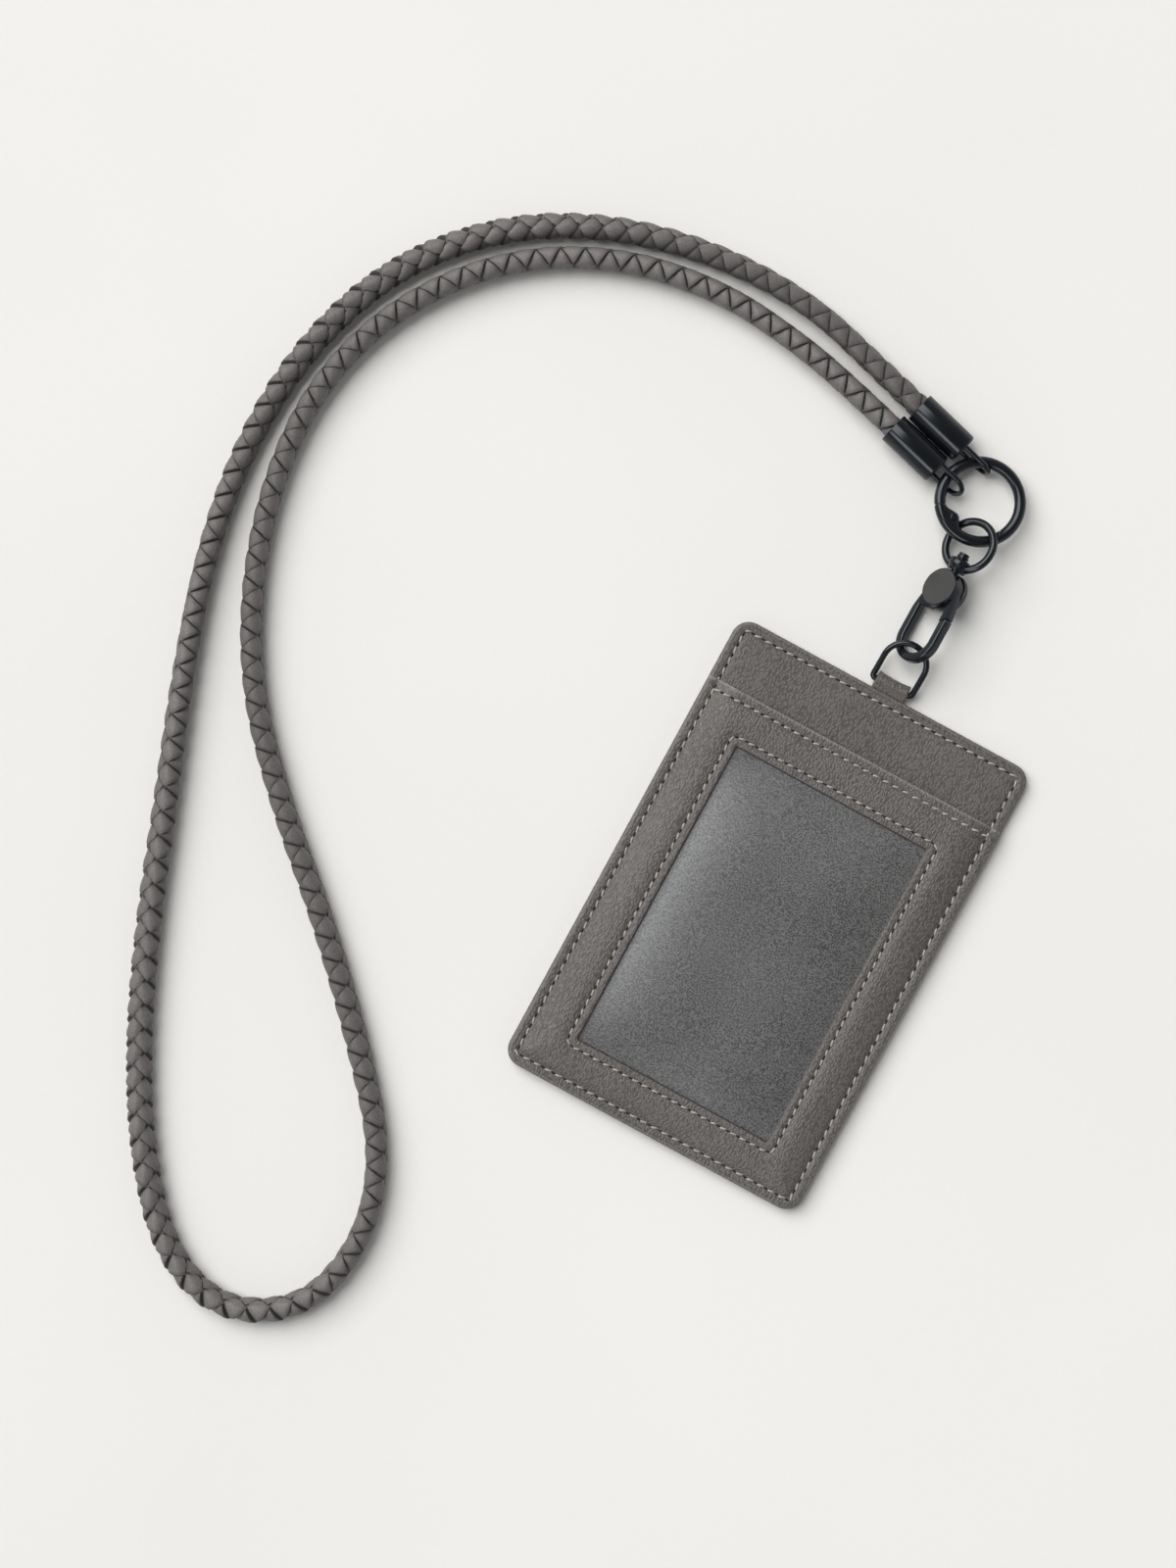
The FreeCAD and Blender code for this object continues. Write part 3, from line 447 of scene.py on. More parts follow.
# How far cells are bent, in cells, and how soft their borders are
BEND_REACH, CELL_SOFTNESS = 1.3, 0.45
# Distances from a cell's middle at which its crease begins and is full
CREASE_SPAN: Span = (0.25, 0.75)
# Shares of the cells and of the pores in the grain's height
CELL_HEIGHT, PORE_HEIGHT = 0.7, 0.3


def grain_group() -> Tree:
    """Makes the shared node group for pebbled leather grain.

    Returns:
        Group with Vector and Scale in, Height, Crease and Tone out.
    """
    tree = bpy.data.node_groups.new("pebble_grain", "ShaderNodeTree")
    sockets(tree, "INPUT", "Vector", "Vector")
    sockets(tree, "INPUT", "Float", "Scale")
    sockets(tree, "OUTPUT", "Float", "Height", "Crease", "Tone")
    sketch = NodeSketch(tree)
    given = sketch.add("NodeGroupInput").outputs
    place, scale = given["Vector"], given["Scale"]
    bend = sketch.noise(place, sketch.math("MULTIPLY", scale, BEND_SCALE), Detail=2.0)
    centred = sketch.vector("SUBTRACT", bend["Color"], (0.5, 0.5, 0.5))
    push = sketch.vector("SCALE", centred, sketch.math("DIVIDE", BEND_REACH, scale), "Scale")
    moved = sketch.vector("ADD", place, push)
    cells = sketch.add("ShaderNodeTexVoronoi", {"Vector": moved, "Scale": scale, "Smoothness": CELL_SOFTNESS},
                       feature="SMOOTH_F1")
    fine = sketch.noise(place, sketch.math("MULTIPLY", scale, PORE_SCALE), Detail=3.0, Roughness=0.6)
    broad = sketch.noise(place, sketch.math("MULTIPLY", scale, PATCH_SCALE), Detail=4.0, Roughness=0.55)
    crease = sketch.spread(cells.outputs["Distance"], CREASE_SPAN)
    swell = sketch.math("MULTIPLY", sketch.math("SUBTRACT", 1.0, crease), CELL_HEIGHT)
    height = sketch.math("ADD", swell, sketch.math("MULTIPLY", fine["Fac"], PORE_HEIGHT))
    sketch.add("NodeGroupOutput", {"Height": height, "Crease": crease, "Tone": broad["Fac"]})
    return tree


def mottle_group() -> Tree:
    """Makes the shared node group for uneven tone with fine speckle.

    Returns:
        Group with Vector, Broad and Fine in, Tone and Speck out.
    """
    tree = bpy.data.node_groups.new("mottle", "ShaderNodeTree")
    sockets(tree, "INPUT", "Vector", "Vector")
    sockets(tree, "INPUT", "Float", "Broad", "Fine")
    sockets(tree, "OUTPUT", "Float", "Tone", "Speck")
    sketch = NodeSketch(tree)
    given = sketch.add("NodeGroupInput").outputs
    tone = sketch.noise(given["Vector"], given["Broad"], Detail=3.0)
    speck = sketch.noise(given["Vector"], given["Fine"], Detail=2.0, Roughness=0.7)
    sketch.add("NodeGroupOutput", {"Tone": tone["Fac"], "Speck": speck["Fac"]})
    return tree


GRAIN = grain_group()
MOTTLE = mottle_group()


@dataclass(frozen=True)
class Finish:
    """What every finish has: colours between which it varies, roughness, relief and shine."""

    name: str
    dark: Colour
    light: Colour
    roughness: Span
    bump: float
    specular: float = 0.5

    def blank(self) -> tuple[Material, NodeSketch, Node]:
        """Makes a material with one shader and its output.

        Returns:
            The material, a sketch of its tree and its shader.
        """
        material = bpy.data.materials.new(self.name)
        material.use_nodes = True
        material.node_tree.nodes.clear()
        sketch = NodeSketch(material.node_tree)
        shader = sketch.add("ShaderNodeBsdfPrincipled", {"Specular IOR Level": self.specular})
        sketch.add("ShaderNodeOutputMaterial", {"Surface": shader.outputs[0]})
        return material, sketch, shader

    def cover(self, sketch: NodeSketch, shader: Node, colour: Socket,
              roughness: Socket, height: Socket) -> None:
        """Joins colour, roughness and relief to a shader.

        Args:
            sketch: Sketch of the material's tree.
            shader: Shader of the material.
            colour: Colour over the surface.
            roughness: Roughness over the surface.
            height: Height over the surface, from 0 to 1.
        """
        relief = sketch.add("ShaderNodeBump", {"Strength": 1.0, "Distance": self.bump * MM, "Height": height})
        normal = relief.outputs["Normal"]
        for name, socket in (("Base Color", colour), ("Roughness", roughness), ("Normal", normal)):
            sketch.tree.links.new(socket, shader.inputs[name])


@dataclass(frozen=True)
class LeatherFinish(Finish):
    """Pebbled leather, with a painted highlight and painted shade mixed into its colour by a point attribute.
    """

    scale: float = 2300.0
    stretch: Triple = (1.0, 1.0, 1.0)
    tones: Span = (0.72, 0.96)
    contrast: float = 0.7
    # Lighter colour painted in as a highlight and darker colour painted in as shade, where the point
    # attribute says so
    painted_highlight: Colour = (0.205, 0.187, 0.177)
    painted_shade: Colour = (0.022, 0.020, 0.019)

    def make(self) -> Material:
        """Makes the material.

        Returns:
            Material with grain in colour, roughness and bump, and painted highlight and painted shade from a
            point attribute.
        """
        material, sketch, shader = self.blank()
        place = sketch.add("ShaderNodeTexCoord").outputs["Object"]
        drawn = sketch.vector("MULTIPLY", place, self.stretch)
        grain = sketch.add("ShaderNodeGroup", {"Vector": drawn, "Scale": self.scale}, node_tree=GRAIN).outputs
        tone = sketch.spread(grain["Tone"], NOISE_SPAN, self.tones)
        shade = sketch.math("SUBTRACT", tone, sketch.math("MULTIPLY", grain["Crease"], self.contrast))
        # Painted light from the point attribute: above 0 mixes towards the painted highlight, below 0 towards
        # the painted shade
        light_paint = sketch.add("ShaderNodeAttribute", attribute_name=PAINTED_LIGHT).outputs["Fac"]
        plain = sketch.mix(sketch.spread(shade, UNIT), full(self.dark), full(self.light))
        highlighted = sketch.mix(sketch.spread(light_paint, UNIT), plain, full(self.painted_highlight))
        colour = sketch.mix(sketch.spread(light_paint, (-1.0, 0.0), (1.0, 0.0)), highlighted, full(self.painted_shade))
        roughness = sketch.spread(grain["Crease"], UNIT, self.roughness)
        self.cover(sketch, shader, colour, roughness, grain["Height"])
        return material


@dataclass(frozen=True)
class CoatFinish(Finish):
    """Even finish with soft tone and speckle: metal coating, film, thread, board or floor."""

    broad: float = 100.0
    fine: float = 2000.0
    speckle: float = 0.3
    metallic: float = 0.0
    tint: Colour = (1.0, 1.0, 1.0)
    contrast: Span = NOISE_SPAN

    def make(self) -> Material:
        """Makes the material.

        Returns:
            Material with tone and speckle in colour, roughness and bump.
        """
        material, sketch, shader = self.blank()
        place = sketch.add("ShaderNodeTexCoord").outputs["Object"]
        mottle = sketch.add("ShaderNodeGroup", {"Vector": place, "Broad": self.broad, "Fine": self.fine},
                            node_tree=MOTTLE).outputs
        tone = sketch.spread(mottle["Tone"], NOISE_SPAN, (0.0, 1.0 - self.speckle))
        speck = sketch.spread(mottle["Speck"], self.contrast, (0.0, self.speckle))
        colour = sketch.mix(sketch.math("ADD", tone, speck), full(self.dark), full(self.light))
        roughness = sketch.spread(mottle["Tone"], NOISE_SPAN, self.roughness)
        self.cover(sketch, shader, colour, roughness, mottle["Speck"])
        shader.inputs["Metallic"].default_value = self.metallic
        shader.inputs["Specular Tint"].default_value = full(self.tint)
        return material


FINISHES: dict[str, LeatherFinish | CoatFinish] = {
    "leather": LeatherFinish("pebbled_leather", (0.063, 0.055, 0.051), (0.151, 0.136, 0.128), (0.40, 0.52),
                             bump=0.17, specular=0.55, stretch=(1.0, 0.56, 1.0)),
    "lining": LeatherFinish("header_leather", (0.066, 0.058, 0.054), (0.155, 0.140, 0.133), (0.46, 0.60),
                            bump=0.13, specular=0.45, stretch=(1.0, 0.56, 1.0)),
    "cord": LeatherFinish("braid_leather", (0.105, 0.095, 0.092), (0.172, 0.158, 0.153), (0.46, 0.58),
                          bump=0.03, specular=0.45, scale=2600.0, contrast=0.5),
    "film": CoatFinish("frosted_film", (0.037, 0.0364, 0.0358), (0.158, 0.156, 0.153), (0.33, 0.39),
                       bump=0.045, specular=1.0, broad=45.0, fine=2700.0, speckle=0.88,
                       tint=(0.94, 0.97, 1.0), contrast=(0.44, 0.56)),
    "thread": CoatFinish("waxed_thread", (0.22, 0.205, 0.19), (0.52, 0.495, 0.465), (0.4, 0.55),
                         bump=0.03, broad=900.0, fine=5200.0, speckle=0.6),
    # Needle holes: near-black beads painted as the shade inside each hole
    "hole": CoatFinish("needle_hole_shade", (0.014, 0.013, 0.012), (0.028, 0.025, 0.024), (0.8, 0.9),
                       bump=0.0, specular=0.1, broad=400.0, fine=3000.0),
    "metal": CoatFinish("black_nickel", (0.0045, 0.005, 0.0068), (0.0085, 0.0098, 0.013), (0.15, 0.20),
                        bump=0.003, specular=0.42, broad=180.0, fine=2600.0, tint=(0.86, 0.94, 1.0)),
    "matte": CoatFinish("worn_black_face", (0.024, 0.024, 0.024), (0.038, 0.038, 0.038), (0.42, 0.5),
                        bump=0.006, broad=220.0, fine=3200.0, speckle=0.4),
    "spring": CoatFinish("spring_steel", (0.32, 0.32, 0.33), (0.42, 0.42, 0.43), (0.28, 0.36),
                         bump=0.003, broad=300.0, fine=2400.0, metallic=1.0),
    "board": CoatFinish("grey_board", (0.22, 0.20, 0.18), (0.30, 0.28, 0.25), (0.8, 0.9),
                        bump=0.02, broad=120.0, fine=1800.0),
}


@dataclass(frozen=True)
class Palette:
    """All materials of the object."""

    leather: Material
    lining: Material
    cord: Material
    film: Material
    thread: Material
    hole: Material
    metal: Material
    matte: Material
    spring: Material
    board: Material

    @classmethod
    def make(cls) -> "Palette":
        """Makes every material once."""
        return cls(**{name: finish.make() for name, finish in FINISHES.items()})


# Seams

# Largest turn of a stitch off its line about each of its axes, in radians
SWAY: Triple = (0.02, 0.04, 0.07)
# Points along a stitch and round its thread
STITCH_STEPS, THREAD_SIDES = 8, 8
# How flat a needle hole's bead of painted shade is pressed
HOLE_PRESS: Triple = (1.0, 0.44, 0.24)
# Shortens the pitch by a hair, so that rounding never drops a seam's last stitch
PITCH_EASE = 0.9999


def seam_group(mark: Mark) -> Tree:
    """Makes the node group that sets stitches or needle holes along a line.

    Args:
        mark: What the group repeats.

    Returns:
        Geometry node group with named inputs.
    """
    tree = bpy.data.node_groups.new(f"seam_{mark.value}", "GeometryNodeTree")
    sockets(tree, "INPUT", "Geometry", "Geometry")
    sockets(tree, "INPUT", "Float", "Pitch", "Length", "Thread", "Rise", "Sink", "Slant")
    sockets(tree, "INPUT", "Int", "Seed")
    sockets(tree, "INPUT", "Material", "Material")
    sockets(tree, "OUTPUT", "Geometry", "Geometry")
    sketch = NodeSketch(tree)
    given = sketch.add("NodeGroupInput").outputs
    line = sketch.add("GeometryNodeMeshToCurve", {"Mesh": given["Geometry"]})
    dots = sketch.add("GeometryNodeCurveToPoints", {"Curve": line.outputs[0], "Length": given["Pitch"]},
                      mode="LENGTH").outputs
    along = sketch.add("FunctionNodeAlignRotationToVector", {"Vector": dots["Tangent"]},
                       axis="X", pivot_axis="Z")
    shape = stitch_shape(sketch, given) if mark is Mark.STITCH else hole_shape(sketch, given)
    span = {0: tuple(-angle for angle in SWAY), 1: SWAY, "Seed": given["Seed"]}
    jitter = sketch.add("FunctionNodeRandomValue", span, data_type="FLOAT_VECTOR")
    wobble = sketch.add("FunctionNodeEulerToRotation", {"Euler": jitter.outputs[0]})
    aimed = sketch.add("FunctionNodeRotateRotation",
                       {"Rotation": along.outputs[0], "Rotate By": wobble.outputs[0]}, rotation_space="LOCAL")
    rows = sketch.add("GeometryNodeInstanceOnPoints",
                      {"Points": dots["Points"], "Instance": shape, "Rotation": aimed.outputs[0]})
    real = sketch.add("GeometryNodeRealizeInstances", {"Geometry": rows.outputs[0]})
    smooth = sketch.add("GeometryNodeSetShadeSmooth", {"Geometry": real.outputs[0]})
    dressed = sketch.add("GeometryNodeSetMaterial",
                         {"Geometry": smooth.outputs[0], "Material": given["Material"]})
    sketch.add("NodeGroupOutput", {"Geometry": dressed.outputs[0]})
    return tree


def stitch_shape(sketch: NodeSketch, given: Outputs) -> Socket:
    """Draws one stitch: a thread that comes out of one hole, arches and goes into the next.

    Args:
        sketch: Sketch of the node group.
        given: Outputs of the group's input node.

    Returns:
        Geometry of the stitch.
    """
    half = sketch.math("MULTIPLY", given["Length"], 0.5)
    back = sketch.math("MULTIPLY", half, -1.0)
    lean = sketch.math("MULTIPLY", half, given["Slant"])
    lean_back = sketch.math("MULTIPLY", lean, -1.0)
    start = sketch.add("ShaderNodeCombineXYZ", {0: back, 1: lean_back, 2: given["Sink"]})
    top = sketch.add("ShaderNodeCombineXYZ", {2: given["Rise"]})
    stop = sketch.add("ShaderNodeCombineXYZ", {0: half, 1: lean, 2: given["Sink"]})
    bow = sketch.add("GeometryNodeCurveQuadraticBezier",
                     {"Resolution": STITCH_STEPS, "Start": start.outputs[0], "Middle": top.outputs[0],
                      "End": stop.outputs[0]})
    section = sketch.add("GeometryNodeCurvePrimitiveCircle",
                         {"Resolution": THREAD_SIDES, "Radius": given["Thread"]})
    body = sketch.add("GeometryNodeCurveToMesh",
                      {"Curve": bow.outputs[0], "Profile Curve": section.outputs[0], "Fill Caps": True})
    return body.outputs[0]


def hole_shape(sketch: NodeSketch, given: Outputs) -> Socket:
    """Draws one needle hole: a flat dark bead pressed into the leather, painted shade that stands for the
    hole's shadow.
    """
    bead = sketch.add("GeometryNodeMeshUVSphere", {"Segments": 10, "Rings": 5, "Radius": given["Length"]})
    return sketch.add("GeometryNodeTransform", {"Geometry": bead.outputs[0], "Scale": HOLE_PRESS}).outputs[0]


SEAM_GROUPS = {mark: seam_group(mark) for mark in Mark}


@dataclass
class Seam:
    """One row of stitches with its needle holes."""

    pitch: float = 2.72
    length: float = 1.65
    thread: float = 0.25
    rise: float = 0.54
    sink: float = -0.24
    slant: float = 0.22
    hole: float = 0.62
    crease: float = 60.0

    def sew(self, name: str, path: Ring, closed: bool, palette: Palette, seed: int) -> list[Piece]:
        """Makes the stitches and holes of one seam.

        Args:
            name: Name of the seam.
            path: Points of the seam on the leather, in millimetres.
            closed: True where the seam runs round.
            palette: Materials.
            seed: Seed of the stitches' unevenness.

        Returns:
            The stitches and the holes.
        """
        lengths = [(after - before).length for before, after in zip(path, path[1:] + path[:1])]
        total = sum(lengths if closed else lengths[:-1])
        pitch = total / round(total / self.pitch)
        shifted = shift(path, lengths, pitch / 2, closed)
        return [self.row(f"{name}_stitches", path, closed, Mark.STITCH, pitch, palette.thread, seed),
                self.row(f"{name}_holes", shifted, closed, Mark.HOLE, pitch, palette.hole, seed)]

    def row(self, name: str, path: Ring, closed: bool, mark: Mark, pitch: float,
            material: Material, seed: int) -> Piece:
        """Repeats one mark along a path with geometry nodes and keeps the plain mesh.

        Args:
            name: Name of the row.
            path: Points of the row, in millimetres.
            closed: True where the row runs round.
            mark: What is repeated.
            pitch: Distance between marks.
            material: Material of the marks.
            seed: Seed of their unevenness.

        Returns:
            The row as a mesh object.
        """
        count = len(path)
        edges = [(here, (here + 1) % count) for here in range(count if closed else count - 1)]
        line = bpy.data.meshes.new(f"{name}_line")
        line.from_pydata([point * MM for point in path], edges, [])
        size = self.length if mark is Mark.STITCH else self.hole
        values = {"Pitch": pitch * MM * PITCH_EASE, "Length": size * MM, "Thread": self.thread * MM,
                  "Rise": self.rise * MM, "Sink": self.sink * MM, "Slant": self.slant, "Seed": seed,
                  "Material": material}
        mesh = baked(f"{name}_line", line, "NODES", values, node_group=SEAM_GROUPS[mark])
        return finished(name, mesh, [material], self.crease)


def shift(path: Ring, lengths: list[float], distance: float, closed: bool) -> Ring:
    """Starts a path further along itself.

    Args:
        path: Points of the path.
        lengths: Length of each step, with the closing one last.
        distance: How far the start moves.
        closed: True where the path runs round.

    Returns:
        The path from its new start.
    """
    left = distance
    for index, length in enumerate(lengths):
        if left <= length:
            start = path[index].lerp(path[(index + 1) % len(path)], left / length)
            return [start] + path[index + 1:] + (path[:index + 1] if closed else [])
        left -= length
    return path


# Wallet


@dataclass(frozen=True)
class Contour:
    """Height over distance through given knots, with smooth slopes."""

    knots: Knots

    def at(self, distance: float) -> float:
        """Gives the height at a distance.

        Args:
            distance: Distance in millimetres.

        Returns:
            Height in millimetres.
        """
        knots = self.knots
        if distance <= knots[0][0]:
            return knots[0][1]
        if distance >= knots[-1][0]:
            return knots[-1][1]
        here = next(index for index in range(len(knots) - 1) if distance <= knots[index + 1][0])
        (start, low), (stop, high) = knots[here], knots[here + 1]
        span = stop - start
        share = (distance - start) / span
        leave, arrive = self.slope(here) * span, self.slope(here + 1) * span
        square, cube = share ** 2, share ** 3
        return (low * (2 * cube - 3 * square + 1) + leave * (cube - 2 * square + share)
                + high * (3 * square - 2 * cube) + arrive * (cube - square))

    def slope(self, index: int) -> float:
        """Gives the slope at a knot.

        Args:
            index: Number of the knot.

        Returns:
            Slope from its neighbours.
        """
        before = self.knots[max(index - 1, 0)]
        after = self.knots[min(index + 1, len(self.knots) - 1)]
        return (after[1] - before[1]) / (after[0] - before[0])


def fractions(length: float, zone: float, step: float, bends: int = 18) -> list[float]:
    """Gives shares along one side of a rounded rectangle, closer together at its corners.

    Args:
        length: Length of the side.
        zone: Length of its corner zones.
        step: Distance between points on the straight run.
        bends: Points in each corner zone.

    Returns:
        Shares from 0 to just under 1.
    """
    share = zone / length
    first = [share * index / bends for index in range(bends)]
    count = max(2, round((length - 2 * zone) / step))
    straight = [share + (1 - 2 * share) * index / count for index in range(count)]
    return first + straight + [1 - share + share * index / bends for index in range(bends)]


def rounded_loop(low: Vector, high: Vector, inset: float, radii: Sequence[float], shares: Shares) -> Ring:
    """Gives points round a drawn-in rectangle with rounded corners, with the interior at the left.

    Args:
        low: Lowest corner of the rectangle.
        high: Highest corner of the rectangle.
        inset: How far it is drawn in, or below 0 where it is drawn out.
        radii: Radius at each corner: low left, low right, high right, high left.
        shares: Shares along each side.

    Returns:
        The points, at height 0, from the lowest corner on.
    """
    edge = Vector((inset, inset, 0))
    low, high = low + edge, high - edge
    places = ((low.x, low.y), (high.x, low.y), (high.x, high.y), (low.x, high.y))
    posts = [Vector((x, y, 0)) for x, y in places]
    points = []
    for side in range(4):
        start, stop = posts[side], posts[(side + 1) % 4]
        first, last = radii[side], radii[(side + 1) % 4]
        length = (stop - start).length
        along = (stop - start) / length
        inward = Z_AXIS.cross(along)
        for share in shares[side]:
            run = share * length
            if run < first:
                bend = math.radians(45 * (1 - run / first))
                middle = start + (along + inward) * first
                points.append(middle - (inward * math.cos(bend) + along * math.sin(bend)) * first)
            elif length - run < last:
                bend = math.radians(45 * (1 - (length - run) / last))
                middle = stop + (inward - along) * last
                points.append(middle - (inward * math.cos(bend) - along * math.sin(bend)) * last)
            else:
                points.append(start + along * run)
    return points


@dataclass
class WalletLeather:
    """Panels, pocket, film, tab and seams of the wallet."""

    palette: Palette
    corner: float = 4.0
    corner_zone: float = 7.2
    sharp_corner: float = 0.35
    hem_corner: float = 0.2
    window_corner: float = 0.3
    seam_corner: float = 0.4
    window_seam_corner: float = 1.7
    step: float = 1.8
    crease: float = 50.0
    seam_inset: float = 2.4
    hem_inset: float = 2.3
    hem_end: float = 3.3
    hem_steps: int = 60
    window_inset: float = 1.9
    band_half: float = 0.35
    window_slope: float = 0.2
    window_lip: float = 0.12
    pocket_tuck: float = 0.08
    pocket_sewn: float = 3.2
    pocket_ramp: float = 1.6
    film_swell: float = 1.8
    film_ripple: float = 0.03
    film_grid: tuple[int, int] = (28, 40)
    wave_seed: int = 5
    wave_count: int = 5
    wave_spans: Knots = ((0.04, 0.11), (-0.07, 0.07), (0, 6.28))
    tab_root: float = 3.0
    tab_heel: float = 0.4
    tab_neck: float = 0.2
    tab_rise: float = 0.06
    tab_bend: tuple[int, int, int] = (-122, 116, 14)
    tab_thick: float = 1.0
    tab_round: float = 0.32
    tab_dip: float = 0.3
    tab_crease: float = 60.0
    panel_under: Knots = ((8.0, 0.0), (0.2, 0.0), (0.04, 0.06), (0.0, 0.2))
    panel_insets: Steps = (0.0, 0.05, 0.15, 0.3, 0.5, 0.75, 0.9, 1.1, 1.4, 1.8, 2.1, 2.4, 2.7, 3.0, 3.6, 8.0)
    pocket_insets: Steps = (0.0, 0.08, 0.2, 0.35, 0.5, 0.75, 0.9, 1.1, 1.5, 1.8, 2.1, 2.4, 2.7, 3.0, 3.3, 3.7,
                            4.2, 4.8, 5.6)
    window_gaps: Steps = (4.6, 3.7, 3.0, 2.6, 2.25, 1.9, 1.55, 1.2, 0.8, 0.45, 0.2, 0.08, 0.0)
    side_drop: Contour = Contour(((0, 2.28), (0.12, 2.04), (0.3, 1.86), (0.6, 1.72), (1.0, 1.66), (1.5, 1.65),
                                  (2.0, 1.76), (2.4, 1.98), (2.85, 1.78), (3.3, 1.5), (4.0, 1.2), (5.0, 0.9),
                                  (6.0, 0.63), (7.0, 0.4), (8.0, 0.24), (9.5, 0.09), (11.5, 0.0)))
    hem_drop: Contour = Contour(((0, 0.7), (0.06, 0.5), (0.15, 0.38), (0.35, 0.32), (1.0, 0.3), (1.7, 0.4),
                                 (2.3, 0.66), (2.8, 0.42), (3.6, 0.22), (5.0, 0.08), (6.5, 0.0)))
    window_drop: Contour = Contour(((0, 0.6), (0.08, 0.46), (0.25, 0.38), (0.7, 0.34), (1.3, 0.42),
                                    (1.9, 0.68), (2.3, 0.48), (2.8, 0.32), (3.6, 0.2), (5.0, 0.05),
                                    (6.5, 0.0)))
    face_drop: Contour = Contour(((0, 0.62), (0.12, 0.36), (0.3, 0.17), (0.6, 0.05), (1.0, 0.0), (1.7, 0.03),
                                  (2.4, 0.32), (3.1, 0.03), (3.8, 0.0)))
    # By distance from the outline: a painted highlight on the rounded edge, and painted shade at the very
    # edge and in an edge crease about 0.9 mm in
    edge_highlight_and_shade: Contour = Contour(((0, -0.1), (0.2, 0.2), (0.5, 0.4), (0.75, 0.0), (0.9, -0.32), (1.1, -0.2),
                                  (1.4, 0.0)))
    # Painted highlight along the hem's rounded lip, by distance from the hem
    hem_highlight: Contour = Contour(((0, 0.9), (0.35, 0.9), (0.5, 0.45), (0.8, 0.0)))
    # Painted shade on the window's inner wall down to the film; it starts this far inside the window's edges,
    # further on the right side, which faces the light
    window_painted_shade: float = -0.85
    shade_inset: float = 0.1
    shade_lit_side_inset: float = 0.5

    def make(self) -> None:
        """Makes every piece of the wallet."""
        self.low, self.high = corners("back_panel")
        self.pocket_low, self.pocket_high = corners("pocket_frame")
        self.film_low, self.film_high = corners("window_film")
        band_low, band_high = corners("window_thread")
        margin = self.window_inset + self.band_half
        self.window_low = band_low + Vector((margin, margin, 0))
        self.window_high = band_high - Vector((margin, margin, 0))
        self.panel()
        self.pocket()
        self.film()
        self.tab()
        self.seams()

    def shares(self, low: Vector, high: Vector) -> list[list[float]]:
        """Gives the shares along the four sides of a rectangle.

        Args:
            low: Lowest corner.
            high: Highest corner.

        Returns:
            Shares of the low, right, high and left side.
        """
        across = fractions(high.x - low.x, self.corner_zone, self.step)
        upward = fractions(high.y - low.y, self.corner_zone, self.step)
        return [across, upward, across, upward]

    def panel(self) -> None:
        """Makes the back panel and the front panel with rounded edges and stitch grooves."""
        front_low, front_high = corners("front_panel")
        plans = (("back_leather", self.high.z, self.low.z, -1, self.palette.leather, "back_panel"),
                 ("header_leather", front_low.z, front_high.z, 1, self.palette.lining, "front_panel"))
        shares = self.shares(self.low, self.high)
        for name, inner, face, way, material, node in plans:
            levels = [(inset, inner + way * rise) for inset, rise in self.panel_under]
            levels += [(inset, face - way * self.face_drop.at(inset)) for inset in self.panel_insets]
            rings = []
            for inset, height in levels:
                radius = max(self.corner - inset, self.sharp_corner)
                rings.append(lifted(rounded_loop(self.low, self.high, inset, [radius] * 4, shares), height))
            self.hide(name, Skin().loft(rings), material, self.panel_painted_light, node)

    def hide(self, name: str, skin: Skin, material: Material, light_paint: Callable[[Vector], float],
             node: str) -> None:
        """Makes a leather piece with its painted light and settles it.

        Args:
            name: Name of the piece.
            skin: Its shape.
            material: Its material.
            light_paint: Gives the painted light at a point: above 0 a painted highlight, below 0 painted
                shade.
            node: Node that it replaces.
        """
        painted_light = [light_paint(point) for point in skin.points]
        piece = skin.build(name, material, crease=self.crease, painted_light=painted_light)
        settle(piece, Body.WALLET, Slot.LEATHER, node)

    def reach(self, x: float, along: float) -> float:
        """Gives how far inside the rounded outline a place is.

        Args:
            x: Place across the wallet.
            along: Distance from the nearer end of the wallet.

        Returns:
            Distance in millimetres.
        """
        aside = min(x - self.low.x, self.high.x - x)
        if aside < self.corner and along < self.corner:
            return self.corner - math.hypot(self.corner - aside, self.corner - along)
        return min(aside, along)

    def panel_painted_light(self, point: Vector) -> float:
        """Gives the painted light on a panel at a point: painted highlight and painted shade along its edge.
        """
        along = min(point.y - self.low.y, self.high.y - point.y)
        return self.edge_highlight_and_shade.at(self.reach(point.x, along))

    def pocket_painted_light(self, point: Vector) -> float:
        """Gives the pocket's painted light: painted highlight and shade along its edge, painted highlight
        along its hem, painted shade on its window's inner wall.

        Args:
            point: Place on the pocket.

        Returns:
            Painted light, above 0 for a painted highlight and below 0 for painted shade.
        """
        low, high, near = self.window_low, self.window_high, self.shade_inset
        if low.x + near < point.x < high.x - self.shade_lit_side_inset and low.y + near < point.y < high.y - near:
            return self.window_painted_shade
        edge = self.edge_highlight_and_shade.at(self.reach(point.x, point.y - self.low.y))
        return edge + self.hem_highlight.at(self.pocket_high.y - point.y)

    def pocket_top(self, point: Vector) -> float:
        """Gives the height of the pocket leather's upper face.

        Args:
            point: Place on the pocket.

        Returns:
            Height in millimetres.
        """
        low, high = self.window_low, self.window_high
        out_x = max(low.x - point.x, point.x - high.x, 0.0)
        out_y = max(low.y - point.y, point.y - high.y, 0.0)
        drops = (self.side_drop.at(self.reach(point.x, point.y - self.pocket_low.y)),
                 self.hem_drop.at(self.pocket_high.y - point.y),
                 self.window_drop.at(math.hypot(out_x, out_y)))
        return self.pocket_high.z - max(drops)

    def pocket_floor(self, point: Vector) -> float:
        """Gives the height of the pocket leather's lower face, which rises from its seam to clear the card.

        Args:
            point: Place on the pocket.

        Returns:
            Height in millimetres.
        """
        low, high = self.pocket_low, self.pocket_high
        reach = min(point.x - low.x, high.x - point.x, point.y - low.y)
        share = min(max((reach - self.pocket_sewn) / self.pocket_ramp, 0.0), 1.0)
        return low.z + (self.film_high.z - low.z) * share

